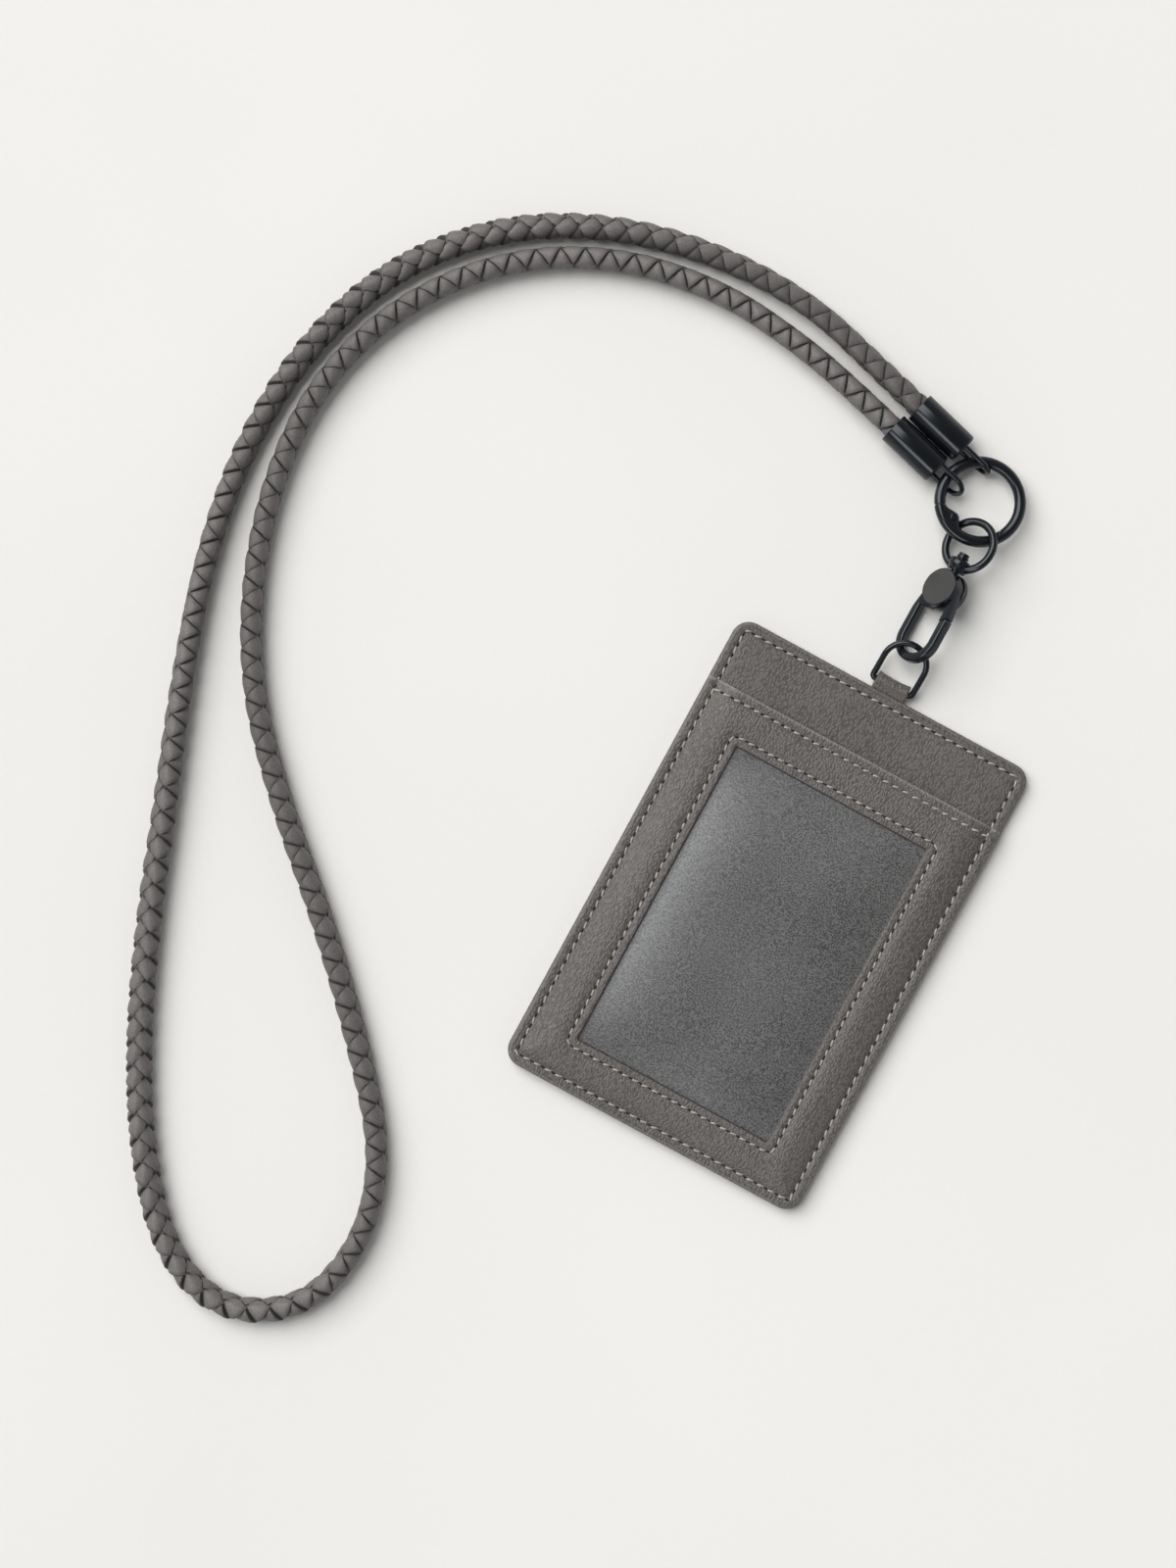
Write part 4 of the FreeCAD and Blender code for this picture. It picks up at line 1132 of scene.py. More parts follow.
    def pocket(self) -> None:
        """Makes the pocket leather: sewn sides, open hem, puffed border and window."""
        low, high = self.pocket_low, self.pocket_high
        window = self.window_low, self.window_high
        shares = self.shares(low, high)
        outer, inner = [], []
        for inset in self.pocket_insets:
            radius = max(self.corner - inset, self.sharp_corner)
            radii = [radius, radius, self.hem_corner, self.hem_corner]
            outer.append(rounded_loop(low, high, inset, radii, shares))
        for gap in self.window_gaps:
            radii = [gap + self.window_corner] * 4
            inner.append(rounded_loop(*window, -gap, radii, shares))
        between = [[first.lerp(second, share) for first, second in zip(outer[-1], inner[0])]
                   for share in (0.25, 0.5, 0.75)]
        foot = rounded_loop(*window, self.window_slope, [self.window_corner] * 4, shares)
        rings = [lifted(ring, self.pocket_top) for ring in outer + between + inner]
        rings += [lifted(foot, self.film_high.z + self.window_lip), lifted(foot, self.film_high.z)]
        under = (inner[4], between[1], outer[-1], outer[14], outer[2])
        rings += [lifted(ring, self.pocket_floor) for ring in under]
        rings.append(lifted(outer[0], lambda point: self.pocket_floor(point) + self.pocket_tuck))
        skin = Skin().loft(rings, Ends.JOINED)
        self.hide("pocket_leather", skin, self.palette.leather, self.pocket_painted_light, "pocket_frame")

    def film(self) -> None:
        """Makes the frosted film, a little swollen and uneven."""
        low, high = self.film_low, self.film_high
        columns, rows = self.film_grid
        unevenness = random.Random(self.wave_seed)
        waves = [[unevenness.uniform(*span) for span in self.wave_spans] for _ in range(self.wave_count)]
        centre = (self.window_low + self.window_high) / 2
        half = (self.window_high - self.window_low) / 2
        top, bottom = [], []
        for row in range(rows + 1):
            for column in range(columns + 1):
                x = low.x + (high.x - low.x) * column / columns
                y = low.y + (high.y - low.y) * row / rows
                aside, along = abs(x - centre.x) / half.x, abs(y - centre.y) / half.y
                inside = max(1 - aside ** 3, 0) * max(1 - along ** 4, 0)
                ripple = sum(math.sin(x * over + y * up + phase) for over, up, phase in waves)
                height = low.z + (self.film_swell + self.film_ripple * ripple) * inside
                bottom.append(Vector((x, y, height)))
                top.append(Vector((x, y, height + high.z - low.z)))
        skin = Skin()
        upper, lower = skin.ring(top), skin.ring(bottom)
        stride = columns + 1
        for row in range(rows):
            for column in range(columns):
                here = row * stride + column
                quad = (here, here + 1, here + 1 + stride, here + stride)
                skin.faces.append(tuple(upper[index] for index in quad))
                skin.faces.append(tuple(lower[index] for index in reversed(quad)))
        rim = (list(range(stride)) + [row * stride + columns for row in range(1, rows + 1)]
               + [rows * stride + column for column in range(columns - 1, -1, -1)]
               + [row * stride for row in range(rows - 1, 0, -1)])
        skin.bridge([upper[index] for index in rim], [lower[index] for index in rim])
        settle(skin.build("frosted_window", self.palette.film), Body.WALLET, Slot.FILM, "window_film")

    def tab(self) -> None:
        """Makes the leather tab, folded round the D-ring's bar."""
        low, high = corners("ring_tab")
        bar, _ = joint("d_ring_swing")
        wrap = high.y - bar.y
        tail = high.z - bar.z - wrap
        edge_y, head = self.high.y, self.high.z
        foot = head - self.tab_thick
        outline = [(edge_y - self.tab_root, foot), (edge_y - self.tab_heel, foot)]
        outline += [(bar.y + wrap * math.cos(turn), bar.z + wrap * math.sin(turn))
                    for turn in map(math.radians, range(*self.tab_bend))]
        outline += [(edge_y - self.tab_neck, head + self.tab_rise + tail), (edge_y - self.tab_root, head)]
        ease = [(self.tab_round * share, self.tab_round * (1 - math.sqrt(1 - (1 - share) ** 2)))
                for share in (0.0, 0.3, 0.6, 0.85, 1.0)]
        rings = [self.tab_ring(outline, low.x + aside, shrink) for aside, shrink in ease]
        for share in (0.15, 0.3, 0.5, 0.7, 0.85):
            dip = self.tab_dip * (1 - (2 * share - 1) ** 2)
            dipped = [(length - dip if length > bar.y else length, height) for length, height in outline]
            rings.append(self.tab_ring(dipped, low.x + (high.x - low.x) * share, 0.0))
        rings += [self.tab_ring(outline, high.x - aside, shrink) for aside, shrink in reversed(ease)]
        piece = Skin().loft(rings).build("leather_tab", self.palette.leather, crease=self.tab_crease)
        settle(piece, Body.WALLET, Slot.LEATHER, "ring_tab")

    @staticmethod
    def tab_ring(outline: Sequence[Span], x: float, shrink: float) -> Ring:
        """Gives the tab's section at one place across it.

        Args:
            outline: Section as pairs of length and height.
            x: Place across the tab.
            shrink: How far the section is drawn in.

        Returns:
            The ring.
        """
        count = len(outline)
        ring = []
        for index in range(count):
            before, here, after = outline[index - 1], outline[index], outline[(index + 1) % count]
            along = Vector((after[0] - before[0], after[1] - before[1])).normalized()
            inward = Vector((-along.y, along.x))
            ring.append(Vector((x, here[0] + inward.x * shrink, here[1] + inward.y * shrink)))
        return ring

    def seams(self) -> None:
        """Makes the rim, hem, window and back seams."""
        wide, close, buried = Seam(), Seam(pitch=2.5, length=1.5), Seam(rise=-0.34, sink=0.24)
        groove = self.face_drop.at(self.seam_inset)
        front = corners("front_panel")[1].z - groove
        edge = rounded_loop(self.low, self.high, self.seam_inset, [self.seam_corner] * 4,
                            self.shares(self.low, self.high))
        rim = lifted(edge, lambda point: self.pocket_top(point) if point.y < self.pocket_high.y else front)
        hem_y = self.pocket_high.y - self.hem_inset
        start, stop = self.pocket_low.x + self.hem_end, self.pocket_high.x - self.hem_end
        hem = [Vector((start + (stop - start) * index / self.hem_steps, hem_y, 0))
               for index in range(self.hem_steps + 1)]
        window = rounded_loop(self.window_low, self.window_high, -self.window_inset,
                              [self.window_seam_corner] * 4, self.shares(self.window_low, self.window_high))
        rows = ((wide, "rim", rim, True, 11, ("pocket_rim_thread", "header_rim_thread")),
                (close, "hem", lifted(hem, self.pocket_top), False, 12, ("hem_thread",)),
                (close, "window", lifted(window, self.pocket_top), True, 13, ("window_thread",)),
                (buried, "back", lifted(edge, self.low.z + groove), True, 14, ()))
        for seam, name, path, closed, seed, nodes in rows:
            stitches, holes = seam.sew(name, path, closed, self.palette, seed)
            settle(stitches, Body.WALLET, Slot.THREAD, *nodes)
            settle(holes, Body.WALLET, Slot.THREAD)


# Hardware


@dataclass
class DRing:
    """D-ring of bent wire."""

    palette: Palette
    wire: float = 1.4
    bend: float = 0.75
    length: float = 10.6
    tilt: float = 17.0

    def make(self) -> None:
        """Makes the ring as one closed wire."""
        bar, axis = joint("d_ring_swing")
        low, high = corners("d_ring")
        leg = (high.x - low.x - self.wire) / 2
        normal = Matrix.Rotation(math.radians(self.tilt), 3, axis) @ Z_AXIS
        place = seat(bar, axis, normal)
        spot = leg - self.bend
        path = [place @ Vector((spot * (step / 4 - 1), 0, 0)) for step in range(8)]
        path += arc(place @ Matrix.Translation((spot, self.bend, 0)), self.bend, -90, 0, 6)
        rise = self.length - leg
        path += [place @ Vector((leg, self.bend + (rise - self.bend) * step / 5, 0)) for step in range(1, 5)]
        path += arc(place @ Matrix.Translation((0, rise, 0)), leg, 0, 180, 32)
        path += [place @ Vector((-leg, rise - (rise - self.bend) * step / 5, 0)) for step in range(1, 5)]
        path += arc(place @ Matrix.Translation((-spot, self.bend, 0)), self.bend, 180, 264, 6)
        cast("d_ring_wire", tube(path, self.wire / 2, 16, True), self.palette.metal, Body.D_RING, "d_ring",
             ends=Ends.JOINED)


# Metres within which copied points merge, and degrees up to which copied faces make one flat
WELD, FLAT = 1e-6, 0.5
# Degrees from which a copied edge is rounded, steps of the rounding, and degrees that stay sharp after it
EASE_ANGLE, EASE_STEPS, EASE_CREASE = 40, 3, 30.0


def eased_copy(node: str, name: str, width: float, material: Material) -> Piece:
    """Copies a node's mesh, merges it and rounds its edges.

    Args:
        node: Node to copy.
        name: Name of the copy.
        width: Width of the rounding, in millimetres.
        material: Material of the copy.

    Returns:
        The copy.
    """
    work = bmesh.new()
    work.from_mesh(frame["nodes"][node].data)
    bmesh.ops.remove_doubles(work, verts=work.verts, dist=WELD)
    bmesh.ops.dissolve_limit(work, angle_limit=math.radians(FLAT), verts=work.verts, edges=work.edges)
    mesh = bpy.data.meshes.new(f"{name}_base")
    work.to_mesh(mesh)
    work.free()
    eased = baked(f"{name}_base", mesh, "BEVEL", width=width * MM, segments=EASE_STEPS, limit_method="ANGLE",
                  angle_limit=math.radians(EASE_ANGLE), use_clamp_overlap=True)
    return finished(name, eased, [material], EASE_CREASE)


@dataclass
class SnapHook:
    """Snap hook with its gate, discs, swivel post and swivel eye."""

    palette: Palette
    drum: float = 9.0
    link: float = 2.5
    disc: float = 1.2
    edge_round: float = 0.28
    post: float = 2.0
    play: float = 0.05
    head: float = 2.8
    head_height: float = 1.3
    boss: float = 5.2
    boss_length: float = 3.0
    eye: float = 5.7
    eye_wire: float = 1.8
    eye_roll: float = 34.0

    def make(self) -> None:
        """Makes every piece of the hook."""
        metal = self.palette.metal
        plans = (("hook_frame", "hook_link", Body.HOOK), ("hook_gate", "hook_gate_arm", Body.HOOK_GATE))
        for node, name, body in plans:
            settle(eased_copy(node, name, self.edge_round, metal), body, Slot.METAL, node)
        self.discs()
        self.swivel()

    def discs(self) -> None:
        """Makes the two discs with rounded rims and a plain matt face in front."""
        drum, axis = joint("hook_gate_pivot")
        place = seat(drum, Vector((0, 1, 0)), -axis)
        radius, half = self.drum / 2, self.link / 2
        face = half + self.disc
        plate = [(radius - 0.8, half), (radius - 0.12, half), (radius, half + 0.1), (radius, face - 0.16),
                 (radius - 0.05, face - 0.05), (radius - 0.16, face), (radius - 0.4, face)]
        dish = [(radius - 0.26, face - 0.1), (radius - 0.22, face + 0.004), (radius - 0.3, face + 0.012),
                (radius - 1.4, face + 0.016), (radius * 0.3, face + 0.02)]
        back = [(size, -height) for size, height in plate]
        cast("front_disc_rim", turned(place, plate), self.palette.metal, Body.HOOK, "hook_front_disc")
        cast("front_disc_face", turned(place, dish), self.palette.matte, Body.HOOK)
        cast("back_disc", turned(place, back), self.palette.metal, Body.HOOK, "hook_back_disc")

    def swivel(self) -> None:
        """Makes the swivel's post and eye."""
        centre, axis = joint("swivel_turn")
        low, high = corners("swivel_post")
        upright = seat(Vector((centre.x, 0, centre.z)), X_AXIS, axis)
        tip = high.y
        neck = tip - self.head_height
        radius, head = self.post / 2, self.head / 2
        post = [(radius, low.y), (radius, neck), (head - 0.15, neck), (head, neck + 0.12),
                (head, neck + 0.45), (head - 0.1, neck + 0.55), (head - 0.3, neck + 0.6),
                (head - 0.3, neck + 0.7), (head - 0.18, neck + 0.78), (head - 0.18, tip - 0.2),
                (head - 0.3, tip - 0.06), (head - 0.5, tip), (head * 0.3, tip)]
        cast("swivel_pin", turned(upright, post, 32), self.palette.metal, Body.HOOK, "swivel_post")
        roll = Matrix.Rotation(math.radians(-self.eye_roll), 3, axis)
        ring = seat(centre, roll @ X_AXIS, roll @ Z_AXIS)
        skin = Skin().loft(tube(arc(ring, self.eye, 0, 355, 71), self.eye_wire / 2, 16, True), Ends.JOINED)
        start = corners("swivel_eye")[0].y
        stop, boss, bore = start + self.boss_length, self.boss / 2, radius + self.play
        shell = [(bore, start + 0.06), (boss - 0.7, start), (boss - 0.5, start + 0.08),
                 (boss - 0.42, start + 0.25), (boss - 0.42, stop - 2.0), (boss - 0.34, stop - 1.86),
                 (boss - 0.1, stop - 1.72), (boss, stop - 1.5), (boss, stop - 0.7), (boss - 0.12, stop - 0.4),
                 (boss - 0.4, stop - 0.12), (boss - 0.75, stop), (bore, stop - 0.04)]
        skin.loft(turned(upright, shell, 40), Ends.JOINED)
        settle(skin.build("swivel_eye_ring", self.palette.metal), Body.SWIVEL_EYE, Slot.METAL, "swivel_eye")


@dataclass
class GateRing:
    """Round ring with a spring gate on a rivet."""

    palette: Palette
    radius: float = 9.0
    wire: float = 2.6
    sides: int = 20
    crease: float = 40.0
    gate_start: float = 213.0
    gate_end: float = 322.6
    gap: float = 0.3
    tongue: float = 0.45
    tongue_inset: float = 0.3
    end_round: float = 0.12
    seam_fade: float = 14.0
    lug: float = 2.0
    lug_spread: float = 24.0
    lug_power: float = 1.3
    lug_height: float = 2.2
    rivet_head: float = 1.7
    rivet_rise: float = 0.3

    def make(self) -> None:
        """Makes the ring's body, gate and rivet."""
        metal = self.palette.metal
        rivet, axis = joint("ring_gate_pivot")
        place = seat(mount("gate_ring_loop"), X_AXIS, axis)
        pin = place.inverted() @ rivet
        self.hinge = math.degrees(math.atan2(pin.y, pin.x)) % 360
        self.pivot = math.hypot(pin.x, pin.y)
        step = math.degrees(self.gap / self.radius)
        start, stop = self.gate_end + step / 2, 360 + self.gate_start - step / 2
        body = self.bar(place, start, stop, 60, start, step * self.tongue)
        start, stop = self.gate_start + step / 2, self.gate_end - step / 2
        gate = self.bar(place, start, stop, 40, stop)
        cast("ring_body_wire", body, metal, Body.RING, "ring_body", crease=self.crease)
        cast("ring_gate_wire", gate, metal, Body.RING_GATE, "ring_gate", crease=self.crease)
        hub = seat(rivet, X_AXIS, axis)
        half, head = self.lug_height / 2, self.rivet_head / 2
        top = half + self.rivet_rise
        dome = [(head, half - 0.3), (head, top - 0.16), (head - 0.08, top - 0.04), (head - 0.2, top),
                (head - 0.36, top), (head - 0.44, top - 0.12), (head * 0.3, top - 0.12)]
        skin = Skin()
        for side in (1, -1):
            skin.loft(turned(hub, [(size, height * side) for size, height in dome], 28))
        settle(skin.build("ring_rivet_heads", metal), Body.RING, Slot.METAL, "ring_rivet")

    def seam_lean(self, out: float) -> float:
        """Gives how far the nose's seam runs on, on an arc about the rivet that lets the gate swing.

        Args:
            out: Distance outwards from the ring's middle line.

        Returns:
            Angle from the seam's middle, in degrees.
        """
        reach, half_turn = self.radius + out, math.radians(self.gate_end - self.hinge)
        swing = self.radius ** 2 + self.pivot ** 2 - 2 * self.radius * self.pivot * math.cos(half_turn)
        share = (reach ** 2 + self.pivot ** 2 - swing) / (2 * reach * self.pivot)
        return self.hinge + math.degrees(math.acos(share)) - self.gate_end

    def bar(self, place: Matrix, start: float, stop: float, steps: int, nose: float,
            tongue: float = 0.0) -> list[Ring]:
        """Gives the rings of a bent bar whose nose end is shaped on an arc.

        Args:
            place: Local frame at the ring's middle.
            start: First angle, in degrees.
            stop: Last angle, in degrees.
            steps: Number of steps.
            nose: Angle of the end that is shaped on an arc.
            tongue: Angle by which a thinner core stands out at both ends, in degrees.

        Returns:
            The rings.
        """
        rings = []
        angles = [start + (stop - start) * index / steps for index in range(steps + 1)]
        edge, inset = self.end_round, self.tongue_inset
        plans = [(angles[0], -edge)] + [(angle, 0.0) for angle in angles] + [(angles[-1], -edge)]
        if tongue:
            plans = [(angles[0] - tongue, -inset), (angles[0], -inset)] + plans
            plans += [(angles[-1], -inset), (angles[-1] + tongue, -inset)]
        for angle, drawn in plans:
            section = self.wire / 2 + drawn
            off = min(abs(angle - self.hinge) / self.lug_spread, 1.0)
            bulge = self.lug * math.cos(math.pi / 2 * off) ** self.lug_power if drawn > -inset else 0.0
            fade = max(0.0, min(1.0, 1 - (abs(angle - nose) - tongue) / self.seam_fade))
            ring = []
            for side in range(self.sides):
                turn = math.tau * side / self.sides
                out, up = section * math.cos(turn), section * math.sin(turn)
                turned_by = math.radians(angle + self.seam_lean(out) * fade)
                reach = self.radius + (out + bulge * min(math.cos(turn), 0.0))
                ring.append(place @ Vector((reach * math.cos(turned_by), reach * math.sin(turned_by), up)))
            rings.append(ring)
        return rings


# Neck cord and its end caps


@dataclass
class CordEnd:
    """End cap with its wire eye."""

    palette: Palette
    name: str
    reach: float
    roll: float
    diameter: float = 7.1
    length: float = 13.7
    bore: float = 2.95
    depth: float = 9.0
    wire: float = 1.2
    width: float = 5.2
    inset: float = 3.0
    turn: float = 15.3

    def __post_init__(self) -> None:
        """Works out the cap's place from its node's box."""
        low, high = corners(f"{self.name}_cap")
        lean = math.radians(-self.turn)
        self.inward = Vector((math.cos(lean), math.sin(lean), 0))
        middle = (low + high) / 2
        self.end = middle + self.inward * self.length / 2
        self.mouth = middle - self.inward * self.length / 2
        self.floor = self.end - self.inward * (self.length - self.depth)

    def make(self) -> list[Piece]:
        """Makes the cap and its eye.

        Returns:
            The cap and the eye.
        """
        place = seat(self.end, Z_AXIS, self.inward)
        radius, bore, mouth = self.diameter / 2, self.bore, -self.length
        profile = [(bore - 0.05, mouth + self.depth), (bore, mouth + self.depth - 0.1), (bore, mouth + 0.15),
                   (bore + 0.06, mouth + 0.04), (bore + 0.16, mouth), (radius - 0.22, mouth),
                   (radius - 0.07, mouth + 0.07), (radius, mouth + 0.25), (radius, -0.62),
                   (radius - 0.06, -0.4), (radius - 0.3, -0.1), (radius - 0.5, 0.0), (radius - 0.8, 0.0),
                   (radius * 0.3, 0.0)]
        cap = cast(f"{self.name}_end_cap", turned(place, profile, 56), self.palette.metal, Body.LANYARD,
                   f"{self.name}_cap")
        rise = Matrix.Rotation(math.radians(-self.roll), 3, self.inward) @ Z_AXIS
        plane = seat(self.end, self.inward, rise.cross(self.inward) * -1)
        leg = self.width / 2
        bend = self.reach - leg
        run = bend + self.inset
        path = [plane @ Vector((-self.inset + run * step / 10, -leg, 0)) for step in range(10)]
        path += arc(plane @ Matrix.Translation((bend, 0, 0)), leg, -90, 90, 28)
        path += [plane @ Vector((bend - run * step / 10, leg, 0)) for step in range(1, 11)]
        eye = cast(f"{self.name}_wire_eye", tube(path, self.wire / 2, 14, False), self.palette.metal,
                   Body.LANYARD, f"{self.name}_cap_eye")
        return [cap, eye]


ROUTE: Knots = (
    (-57, 124.5), (-82, 124), (-106.2, 117.6), (-126.4, 105.4), (-142.4, 86.6), (-151, 62.4), (-152.4, 36),
    (-148.2, 10), (-139.8, -16), (-130.2, -41), (-121, -66), (-110.6, -90), (-98, -112), (-82, -130.2),
    (-64.5, -135.6), (-48.6, -126), (-44.4, -107), (-50, -88), (-66, -69), (-86, -48.6), (-107, -30),
    (-124.8, -11), (-136.6, 10.6), (-143.6, 34.6), (-144.4, 58), (-136.8, 80.8), (-120.8, 100.8),
    (-99.6, 113), (-76, 117.4), (-54.6, 115.4),
)


@dataclass
class NeckCord:
    """Round braid of four leather strands between two end caps."""

    palette: Palette
    upper: CordEnd
    lower: CordEnd
    length: float = 783.7
    diameter: float = 5.8
    lift: float = 2.95
    lead: float = 20.0
    turn_length: float = 10.8
    strand_width: float = 4.55
    strand_height: float = 1.3
    ring_radius: float = 1.32
    weave: float = 0.8
    weave_power: float = 0.65
    droop: float = 0.34
    roll: float = 9.0
    stations: int = 26
    phase: float = 1.9
    drift: float = 0.006
    settled: int = 1135
    sway: float = 0.5
    sway_rate: float = 0.0021
    crease: float = 45.0
    profile: Knots = ((-1.0, -0.6), (-1.0, 0.3), (-0.975, 0.6), (-0.91, 0.8), (-0.5, 0.95), (0.0, 1.0),
                      (0.5, 0.95), (0.91, 0.8), (0.975, 0.6), (1.0, 0.3), (1.0, -0.6), (0.0, -0.9))
    # Painted shade where each strand's edges tuck under its neighbours: one value for each point of the
    # section, -1 at the edges and underside, 0 on the crown
    painted_shade: Steps = (-1.0, -1.0, -1.0, -0.35, 0.0, 0.0, 0.0, -0.35, -1.0, -1.0, -1.0, -1.0)

    def line(self) -> Ring:
        """Gives the smooth line that the cord follows.

        Returns:
            Points of the line, in millimetres.
        """
        knots = [self.upper.floor, self.upper.floor - self.upper.inward * self.lead]
        knots += [Vector((x, y, self.lift)) for x, y in ROUTE]
        knots += [self.lower.floor - self.lower.inward * self.lead, self.lower.floor]
        curve = bpy.data.curves.new("cord_line", "CURVE")
        curve.dimensions = "3D"
        curve.resolution_u = 40
        spline = curve.splines.new("NURBS")
        spline.points.add(len(knots) - 1)
        for point, knot in zip(spline.points, knots):
            point.co = (*(knot * MM), 1.0)
        spline.order_u = 3
        spline.use_endpoint_u = True
        mesh = baked("cord_line", curve)
        points = [vertex.co / MM for vertex in mesh.vertices]
        bpy.data.meshes.remove(mesh)
        return points

    def even(self, points: Ring) -> Ring:
        """Spaces a line's points evenly.

        Args:
            points: Points of the line.

        Returns:
            Points at the braid's stations.
        """
        runs = [0.0]
        for before, after in zip(points, points[1:]):
            runs.append(runs[-1] + (after - before).length)
        count = round(runs[-1] / self.turn_length * self.stations)
        spaced, index = [], 0
        for station in range(count + 1):
            run = runs[-1] * station / count
            while index < len(runs) - 2 and runs[index + 1] < run:
                index += 1
            share = (run - runs[index]) / max(runs[index + 1] - runs[index], 1e-9)
            spaced.append(points[index].lerp(points[index + 1], share))
        return spaced

    def make(self, fittings: list[Piece]) -> None:
        """Args:
            fittings: Pieces on the cord's ends; not used.
        """
        path = self.even(self.line())
        skin = Skin()
        for hand in (1, -1):
            for offset in (0.0, math.pi):
                skin.loft(self.strand(path, hand, offset))
        # Every strand's section takes the painted shade values above
        painted_light = list(self.painted_shade) * (len(skin.points) // len(self.painted_shade))
        braid = skin.build("braided_cord", self.palette.cord, crease=self.crease, painted_light=painted_light)
        settle(braid, Body.LANYARD, Slot.CORD, "neck_cord")

    def strand(self, path: Ring, hand: int, offset: float) -> list[Ring]:
        """Gives the rings of one strand, crowned outside, flat inside and drooping at its edges.

        Args:
            path: Middle of the cord.
            hand: 1 for a strand that turns right, -1 for one that turns left.
            offset: Angle at which the strand starts.

        Returns:
            The rings.
        """
        places, outs = [], []
        for station, point in enumerate(path):
            tangent = self.tangent(path, station)
            side = tangent.cross(Z_AXIS).normalized()
            rise = side.cross(tangent)
            turn = math.tau * station / self.stations
            twist = self.drift * min(station, self.settled) + self.sway * math.sin(station * self.sway_rate)
            angle = hand * turn + offset + self.phase + twist
            out = side * math.cos(angle) + rise * math.sin(angle)
            wave = math.cos(2 * turn)
            reach = self.ring_radius + hand * self.weave * math.copysign(abs(wave) ** self.weave_power, wave)
            places.append(point + out * reach)
            outs.append(out)
        half, height = self.strand_width / 2, self.strand_height / 2
        section = [(across * half, rise * height - self.droop * across ** 2) for across, rise in self.profile]
        tip = hand * math.tan(math.radians(self.roll))
        rings = []
        for station, (place, out) in enumerate(zip(places, outs)):
            tangent = self.tangent(places, station)
            up = (out - tangent * out.dot(tangent)).normalized()
            across = tangent.cross(up)
            rings.append([place + across * wide + up * (high + wide * tip) for wide, high in section])
        return rings

    @staticmethod
    def tangent(path: Ring, station: int) -> Vector:
        """Gives the unit direction of a path at one of its points."""
        before, after = path[max(station - 1, 0)], path[min(station + 1, len(path) - 1)]
        return (after - before).normalized()


# Studio


@dataclass(frozen=True)
class Lamp:
    """Soft lamp, by its direction over the floor, degrees from straight above, metres, watts and size."""

    name: str
    side: Span
    lean: float
    reach: float
    power: float
    size: Span
    colour: Colour = (1.0, 0.995, 0.985)
    diffuse: bool = True

    def make(self, aim: Span) -> None:
        """Makes the lamp.

        Args:
            aim: Place on the floor that it shines at, in millimetres.
        """
        data = bpy.data.lights.new(self.name, "AREA")
        data.shape = "RECTANGLE"
        data.energy = self.power
        data.size, data.size_y = self.size
        data.color = self.colour
        lamp = bpy.data.objects.new(self.name, data)
        slope = math.radians(self.lean)
        away = Vector((self.side[0] * math.sin(slope), self.side[1] * math.sin(slope), math.cos(slope)))
        lamp.location = Vector((*aim, 0.0)) * MM + away * self.reach
        lamp.rotation_euler = away.to_track_quat("Z", "Y").to_euler()
        lamp.visible_diffuse = self.diffuse
        bpy.context.scene.collection.objects.link(lamp)


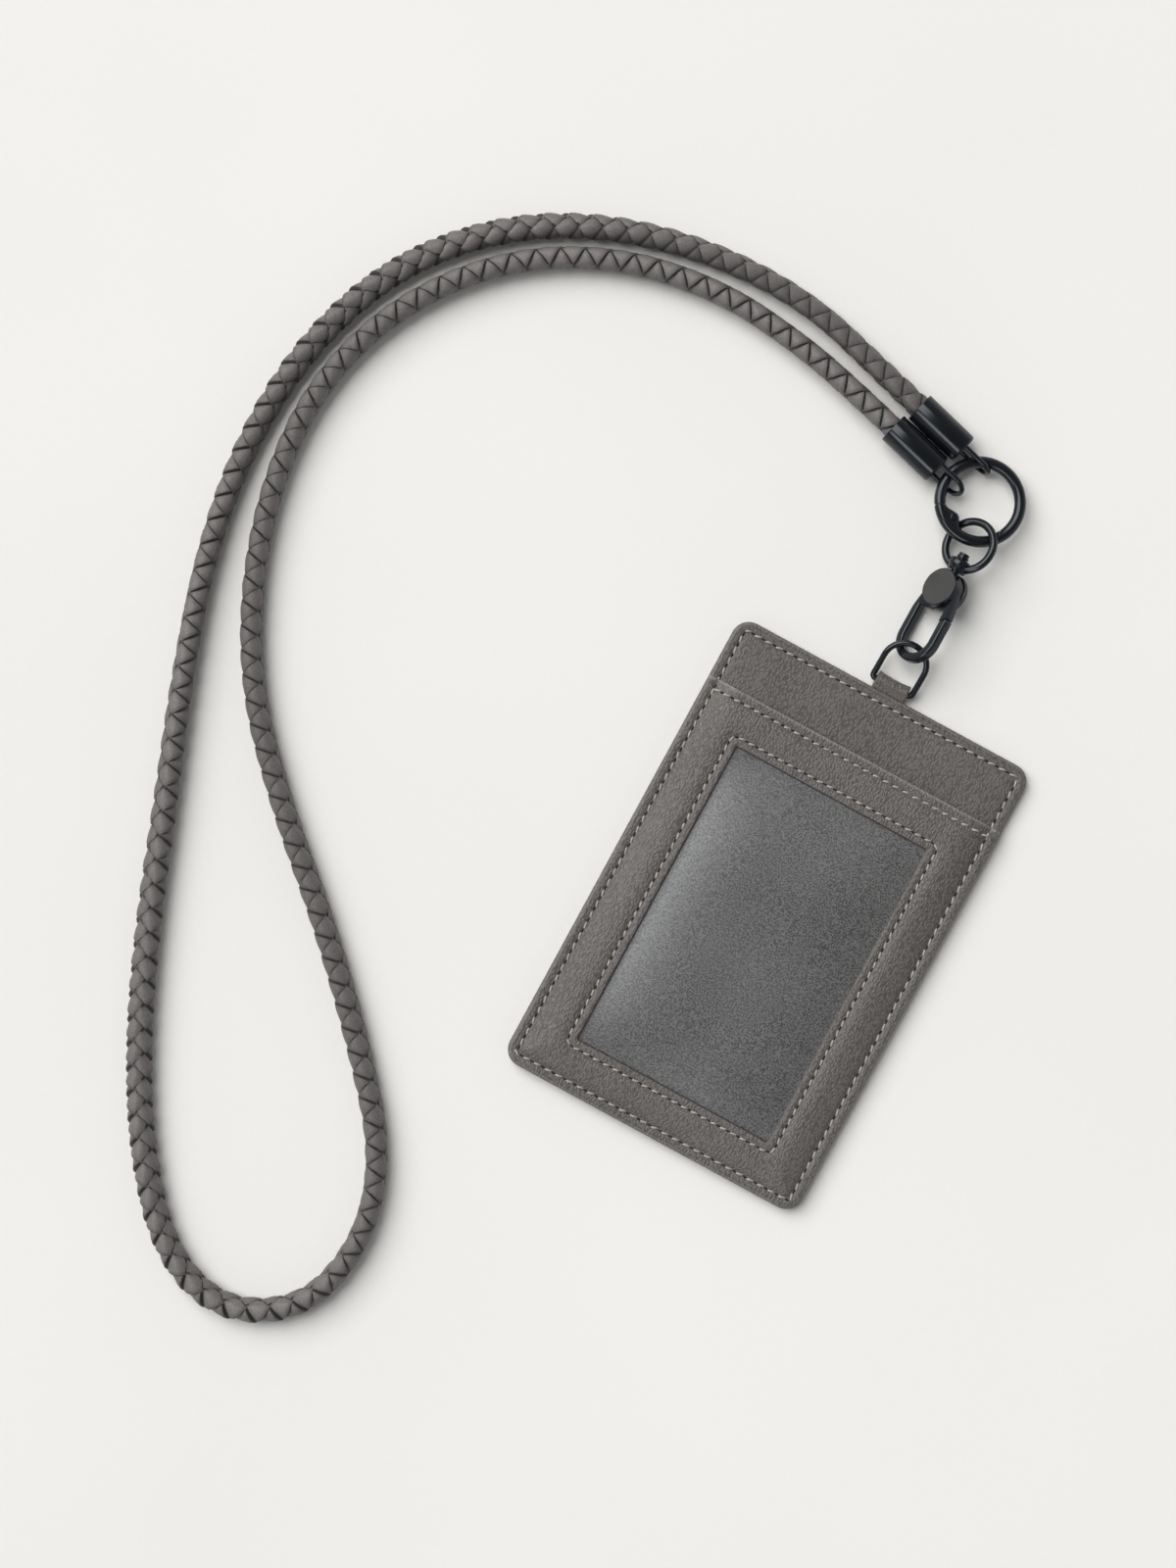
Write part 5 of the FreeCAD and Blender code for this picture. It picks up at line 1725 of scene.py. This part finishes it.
@dataclass
class Studio:
    """Camera, lights and floor, as in the photograph."""

    turn: float = 28.55
    aim: Span = (-49.1, 6.6)
    height: float = 602.6
    lens: float = 61.8
    sensor: float = 36.0
    key: Lamp = Lamp("key", (-0.959, 0.283), lean=40.0, reach=14.0, power=2383.0, size=(12.95, 12.95))
    card: Lamp = Lamp("card", (-0.248, -0.966), lean=44.0, reach=4.0, power=56.0, size=(3.2, 1.3),
                      diffuse=False)
    zenith: float = 0.12
    sky: float = 0.40
    sky_rise: float = 0.3
    horizon: float = 0.87
    air: Colour = (0.98, 0.99, 1.0)
    floor_radius: float = 1400.0
    floor_drop: float = 0.03

    def make(self) -> None:
        """Makes the studio."""
        scene = bpy.context.scene
        scene.view_settings.view_transform = "Standard"
        data = bpy.data.cameras.new("camera")
        data.lens = self.lens
        data.sensor_width = self.sensor
        data.dof.use_dof = False
        camera = bpy.data.objects.new("camera", data)
        camera.location = Vector((*self.aim, self.height)) * MM
        camera.rotation_euler = (0.0, 0.0, math.radians(self.turn))
        scene.collection.objects.link(camera)
        scene.camera = camera
        for lamp in (self.key, self.card):
            lamp.make(self.aim)
        self.world()
        self.floor()

    def world(self) -> None:
        """Makes the soft surround: dim overhead, pale at the horizon."""
        world = bpy.data.worlds.new("studio")
        world.use_nodes = True
        world.node_tree.nodes.clear()
        sketch = NodeSketch(world.node_tree)
        place = sketch.add("ShaderNodeTexCoord").outputs["Generated"]
        rise = sketch.add("ShaderNodeSeparateXYZ", {0: place}).outputs["Z"]
        upper = sketch.spread(rise, (self.sky_rise, 1.0), (self.sky, self.zenith))
        lower = sketch.spread(rise, (0.0, self.sky_rise), (self.horizon - self.sky, 0.0))
        strength = sketch.math("ADD", upper, lower)
        light = sketch.add("ShaderNodeBackground", {"Color": full(self.air), "Strength": strength})
        sketch.add("ShaderNodeOutputWorld", {"Surface": light.outputs[0]})
        bpy.context.scene.world = world

    def floor(self) -> None:
        """Makes the pale floor."""
        finish = CoatFinish("pale_table", (0.86, 0.852, 0.825), (0.90, 0.893, 0.868), (0.75, 0.85),
                            bump=0.02, specular=0.0, broad=6.0, fine=900.0, speckle=0.25)
        middle = Matrix.Translation(Vector((*self.aim, -self.floor_drop)))
        skin = Skin()
        skin.faces.append(tuple(skin.ring(arc(middle, self.floor_radius, 0.0, 357.0, 119))))
        floor = skin.build("floor", finish.make())


def dress_hidden(palette: Palette) -> None:
    """Gives the nodes inside the object their materials.

    Args:
        palette: Materials.
    """
    plans = {"stiffener_board": palette.board, "hook_pivot_pin": palette.metal,
             "hook_gate_spring": palette.spring, "ring_gate_spring": palette.spring}
    for node, material in plans.items():
        for slot in frame["nodes"][node].material_slots:
            slot.material = material


def main() -> None:
    """Builds the studio and every piece of the object."""
    logging.basicConfig(level=logging.INFO, format="%(name)s: %(message)s")
    Studio().make()
    palette = Palette.make()
    upper = CordEnd(palette, "upper", reach=7.4, roll=5.0)
    lower = CordEnd(palette, "lower", reach=7.2, roll=24.0)
    NeckCord(palette, upper, lower).make(upper.make() + lower.make())
    for maker in (WalletLeather, DRing, SnapHook, GateRing):
        maker(palette).make()
    dress_hidden(palette)


if __name__ == "__main__":
    main()
